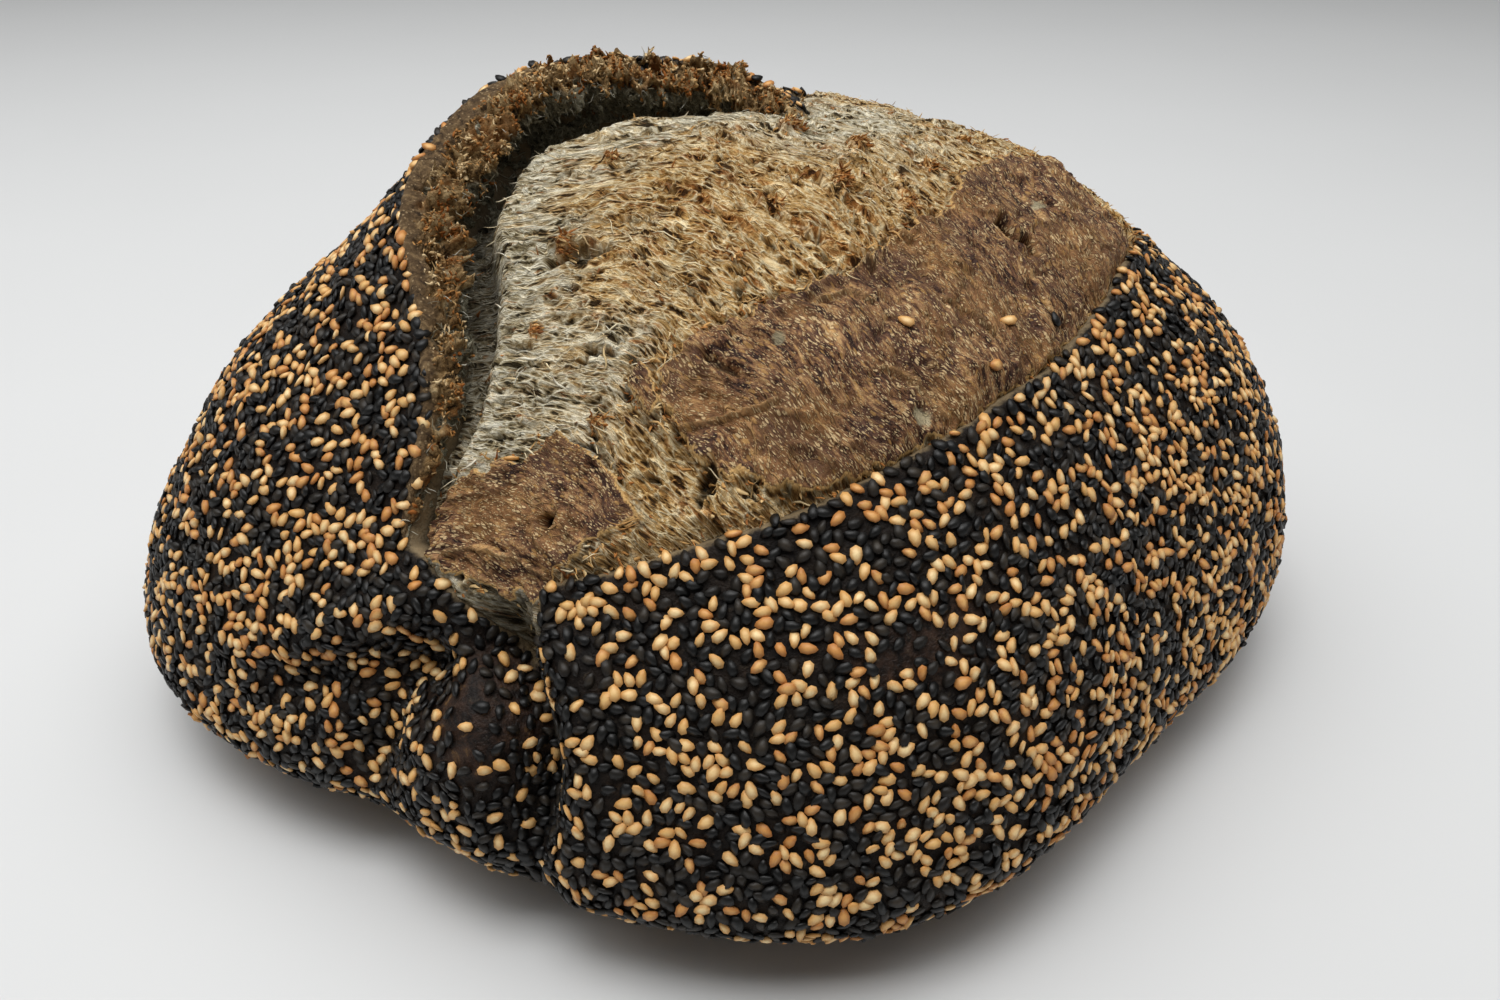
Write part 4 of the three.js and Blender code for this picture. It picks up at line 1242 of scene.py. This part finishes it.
def makeBloomFinish():
    finish = Finish("tornCrumb", roughness=0.85, specular=0.15)
    at = finish.place()
    grey, skin, crest = finish.attribute("grey"), finish.attribute("skin"), finish.attribute("crest")
    pore, wall, folded = finish.attribute("pore"), finish.attribute("cellWall"), finish.attribute("folded")

    def onStrands(length, width, push=0.0):
        place = finish.place(scale=(strandScale / length, strandScale / width, 1), uv="strands")
        return finish.bent(place, 2.0, push) if push else place

    def dots(length, width, share, spread):
        reach = share + (finish.grain(at, 1.7 * length, 1) - 0.5) * spread
        return (reach - finish.specks(onStrands(length, width, 0.8))).between(0.0, 0.1)

    def sheets(length, width, push):
        # stretched cells: 1 on their walls' thin rims, and 1 in their middles
        edge = finish.specks(onStrands(length, width, push), "DISTANCE_TO_EDGE")
        return 1 - edge.between(0.0, 0.1), edge.between(0.04, 0.34)

    streak = finish.grain(onStrands(5.0, 1.15, 1.4), 1, 5, 0.65, 0.8)
    broad = finish.grain(onStrands(18, 8), 1, 3, 0.55)
    tint = finish.grain(onStrands(6, 1.6, 1.2), 1, 4, 0.65)
    rims, middles = sheets(4.8, 1.6, 1.4)
    smallRims, smallMiddles = sheets(2.3, 0.8, 1.2)
    opened = finish.grain(onStrands(8, 4, 1.0), 1, 2).between(0.46, 0.62)
    smallOpened = finish.grain(onStrands(5, 3, 1.0), 1, 2).between(0.42, 0.6)
    # weave is low in the gaps and open cell middles and high on strands and rims; it sets both the bump and
    # the ramps, so its colours carry painted shade and painted highlight
    weave = 0.57 + (streak - 0.5) * 1.35 + rims * 0.12 - middles * opened * 0.26 + wall * 0.04
    weave = weave + smallRims * 0.07 - smallMiddles * smallOpened * 0.19
    # loops: thin light lines on the cell walls' rims, partly the crumb's pale walls and partly painted
    # highlight
    loops = (rims * streak.between(0.38, 0.6)).most(smallRims * streak.between(0.5, 0.65) * 0.6)

    paints = crumbColours
    greyish = (grey * 0.9 + (broad - 0.5) * 1.2 + (tint - 0.5) * 1.8).between(0.15, 0.95)
    crumb = finish.blend(greyish, finish.steps(weave, *paints["straw"]), finish.steps(weave, *paints["pale"]))
    browned = (crest - 0.4) * 0.5 + (tint - 0.48) * 6 - grey * 0.45 + folded
    browned = (browned.between(0.0, 0.8) * 0.85).most(finish.attribute("lump") * 0.9)
    crumb = finish.blend(browned, crumb, finish.steps(weave, *paints["rusty"]))
    nearCrust = (1 - finish.attribute("fromEdge").between(1.5, 7)) * 0.5
    crumb = finish.blend(nearCrust, crumb, finish.blend(streak.between(0.35, 0.6), *paints["nearCrust"]))
    shaded = finish.grain(onStrands(7, 2.4, 1.0), 1, 3).between(0.57, 0.68) * 0.5
    crumb = finish.blend(shaded, crumb, finish.blend(greyish, *paints["shaded"]))
    # cell-wall rims lightened: partly their own pale colour, partly painted highlight
    crumb = finish.blend(loops * 0.6, crumb, paints["loops"])
    # pores and holes painted dark: painted shade in them
    crumb = finish.blend(pore.between(0.3, 0.95) * 0.85, crumb, paints["poreShade"])
    # crumb just outside the skins' edges painted darker: painted shade under the edges
    crumb = finish.blend(finish.attribute("underSkinShade") * 0.75, crumb, paints["underSkinShade"])
    # the gap under the ear and the front groove painted dark: painted shade
    crumb = finish.blend(finish.attribute("deep").between(0.2, 1.0) * 0.75, crumb, paints["gap"])

    paints = skinColours
    leather = finish.grain(onStrands(6, 1.8, 1.4), 1, 5, 0.75, 0.4)
    combed = finish.grain(onStrands(1.9, 0.6, 0.9), 1, 3, 0.7)
    worn = 0.5 + (leather - 0.5) * 2.2 + (combed - 0.5) * 0.9
    warm = finish.grain(at, 14, 3)
    ovals = dots(4.0, 1.3, 0.17, 0.5)
    flecks = dots(2.4, 0.7, 0.19, 0.7).most(dots(1.2, 0.42, 0.2, 0.6) * 0.85)
    bends = finish.grain(onStrands(9, 4, 1.5), 1, 1.5, 0.5)
    creased = (1 - ((bends - 0.5) ** 2 * 2600).between(0.0, 1.0)) * warm.between(0.45, 0.6)
    creased = creased.most(folded)
    hide = finish.steps(worn, *paints["hide"])
    hide = finish.blend(warm.between(0.48, 0.64) * 0.4, hide, paints["warm"])
    hide = finish.blend(finish.grain(at, 8, 3).between(0.5, 0.6) * 0.5, hide, paints["dark"])
    hide = finish.blend(ovals * 0.6, hide, paints["ovals"])
    hide = finish.blend(flecks * 0.8, hide, paints["flecks"])
    hide = finish.blend(creased * 0.4, hide, paints["creases"])
    rimmed = skin.between(0.1, 0.5) * (1 - skin.between(0.85, 1.0))
    hide = finish.blend(rimmed * 0.9, hide, paints["rim"])
    hide = finish.blend(finish.attribute("pale") * 0.85, hide, finish.blend(worn, *paints["windows"]))
    # holes in the skin painted near black: painted shade in them
    hide = finish.blend(pore.between(0.45, 0.85) * 0.9, hide, paints["holeShade"])

    finish.feed("Base Color", finish.blend(skin.between(0.3, 0.7), crumb, hide))
    finish.feed("Roughness", 0.88 - skin * 0.4 + flecks * 0.15)
    height = weave * (1 - skin) * 1.3 + (flecks * 0.22 + worn * 0.3 + creased * 0.3) * skin
    finish.feed("Normal", finish.bump(height, 1.5))
    return finish.material


earColours = {
    "lip": [(60, 46, 32), (0.34, 0.5, (106, 84, 58)), (0.5, 0.66, (150, 124, 88))], "specks": (196, 170, 130),
    "fringe": [
        (46, 34, 18), (0.34, 0.46, (118, 90, 54)),
        (0.46, 0.58, (170, 138, 92)), (0.58, 0.75, (218, 190, 142))],
    "rust": ((96, 58, 24), (190, 126, 62)),
    "inside": [(56, 53, 42), (0.36, 0.5, (132, 126, 104)), (0.5, 0.66, (208, 202, 180))],
}


def makeEarFinish():
    finish = Finish("earCrust", roughness=0.8, specular=0.2)
    paints = earColours
    at = finish.place()
    torn, comb, hollow = finish.attribute("torn"), finish.attribute("comb"), finish.attribute("hollow")
    leather = finish.grain(finish.bent(at, 5, 4), 2.0, 5, 0.7, 0.4)
    specks = (0.28 - finish.specks(at, flat=False) + (finish.grain(at, 3) - 0.5) * 0.4).between(0, 0.14)
    lip = finish.blend(specks * 0.6, finish.steps(leather, *paints["lip"]), paints["specks"])
    mix = finish.grain(at, 1.3, 5, 0.8, 0.6)
    patchy = finish.grain(at, 4.5, 3, 0.6)
    fringe = finish.steps(mix + (comb - 0.3) * 0.2 + (patchy - 0.5) * 0.4, *paints["fringe"])
    rust = finish.grain(at, 6, 3).between(0.52, 0.66)
    fringe = finish.blend(rust * 0.6, fringe, finish.blend(mix, *paints["rust"]))
    colour = finish.blend(torn, lip, fringe)
    inside = (hollow + (mix - 0.5) * 0.5).between(0.3, 0.7)
    finish.feed("Base Color", finish.blend(inside, colour, finish.steps(mix, *paints["inside"])))
    finish.feed("Normal", finish.bump(mix + leather * 0.4, 1.3))
    return finish.material


def makeSeedFinish(kind):
    finish = Finish(kind["finish"], kind["roughness"], kind["shine"])
    tone, along, up = finish.attribute("tone"), finish.attribute("lengthwise"), finish.attribute("upwards")
    colour = finish.blend(tone, kind["dark"], kind["light"])
    colour = finish.blend(along.between(0.0, 1.0) * 0.55, colour, kind["tip"])
    # each seed painted darker from its top down to its rim and lower side: painted shade
    colour = finish.blend((1 - up).between(0.12, 0.5) * 0.75, colour, kind["tip"])
    mottle = finish.grain(finish.place(), 0.8, 3, 0.6)
    colour = finish.blend((mottle - 0.3).between(0, 0.5) * 0.3, colour, kind["tip"])
    finish.feed("Base Color", colour)
    finish.feed("Normal", finish.bump(mottle, 0.12, 0.5))
    return finish.material


def makeTornFinish(kind):
    # each shred has its own tone, and is darker at its root
    finish = Finish(kind["finish"], roughness=0.8, specular=0.2)
    tone, along = finish.attribute("tone"), finish.attribute("lengthwise")
    colour, *later = kind["colours"]
    for i, stop in enumerate(later):
        colour = finish.blend((tone * len(later) - i).between(0, 1), colour, stop)
    mottle = finish.grain(finish.place(), 1.2, 3, 0.6)
    shade = mottle.between(0.4, 0.8) * 0.35 + (0 - along).between(0.2, 1.0) * 0.5
    finish.feed("Base Color", finish.blend(shade, colour, kind["dark"]))
    return finish.material


finishPiece(crust, makeCrustFinish())
finishPiece(bloom, makeBloomFinish())
finishPiece(ear, makeEarFinish())
sowSeeds()
bloomShade = np.clip(0.72 - 0.62 * bloomFacts["grey"] + 0.3 * bloomFacts["crest"], 0, 1)
sowShreds("crumb_threads", bloom, threadWeight, strandWay, bloomShade)
sowShreds("crumb_shreds", bloom, shredWeight, strandWay)
fringeShade = np.clip(0.45 + 1.1 * wave(meshPoints(ear) / mm, 5.0, 21.0), 0, 1)
sowShreds("ear_shreds", ear, fringeWeight, shade=fringeShade)
sowShreds("hollow_fibres", ear, hollowWeight)
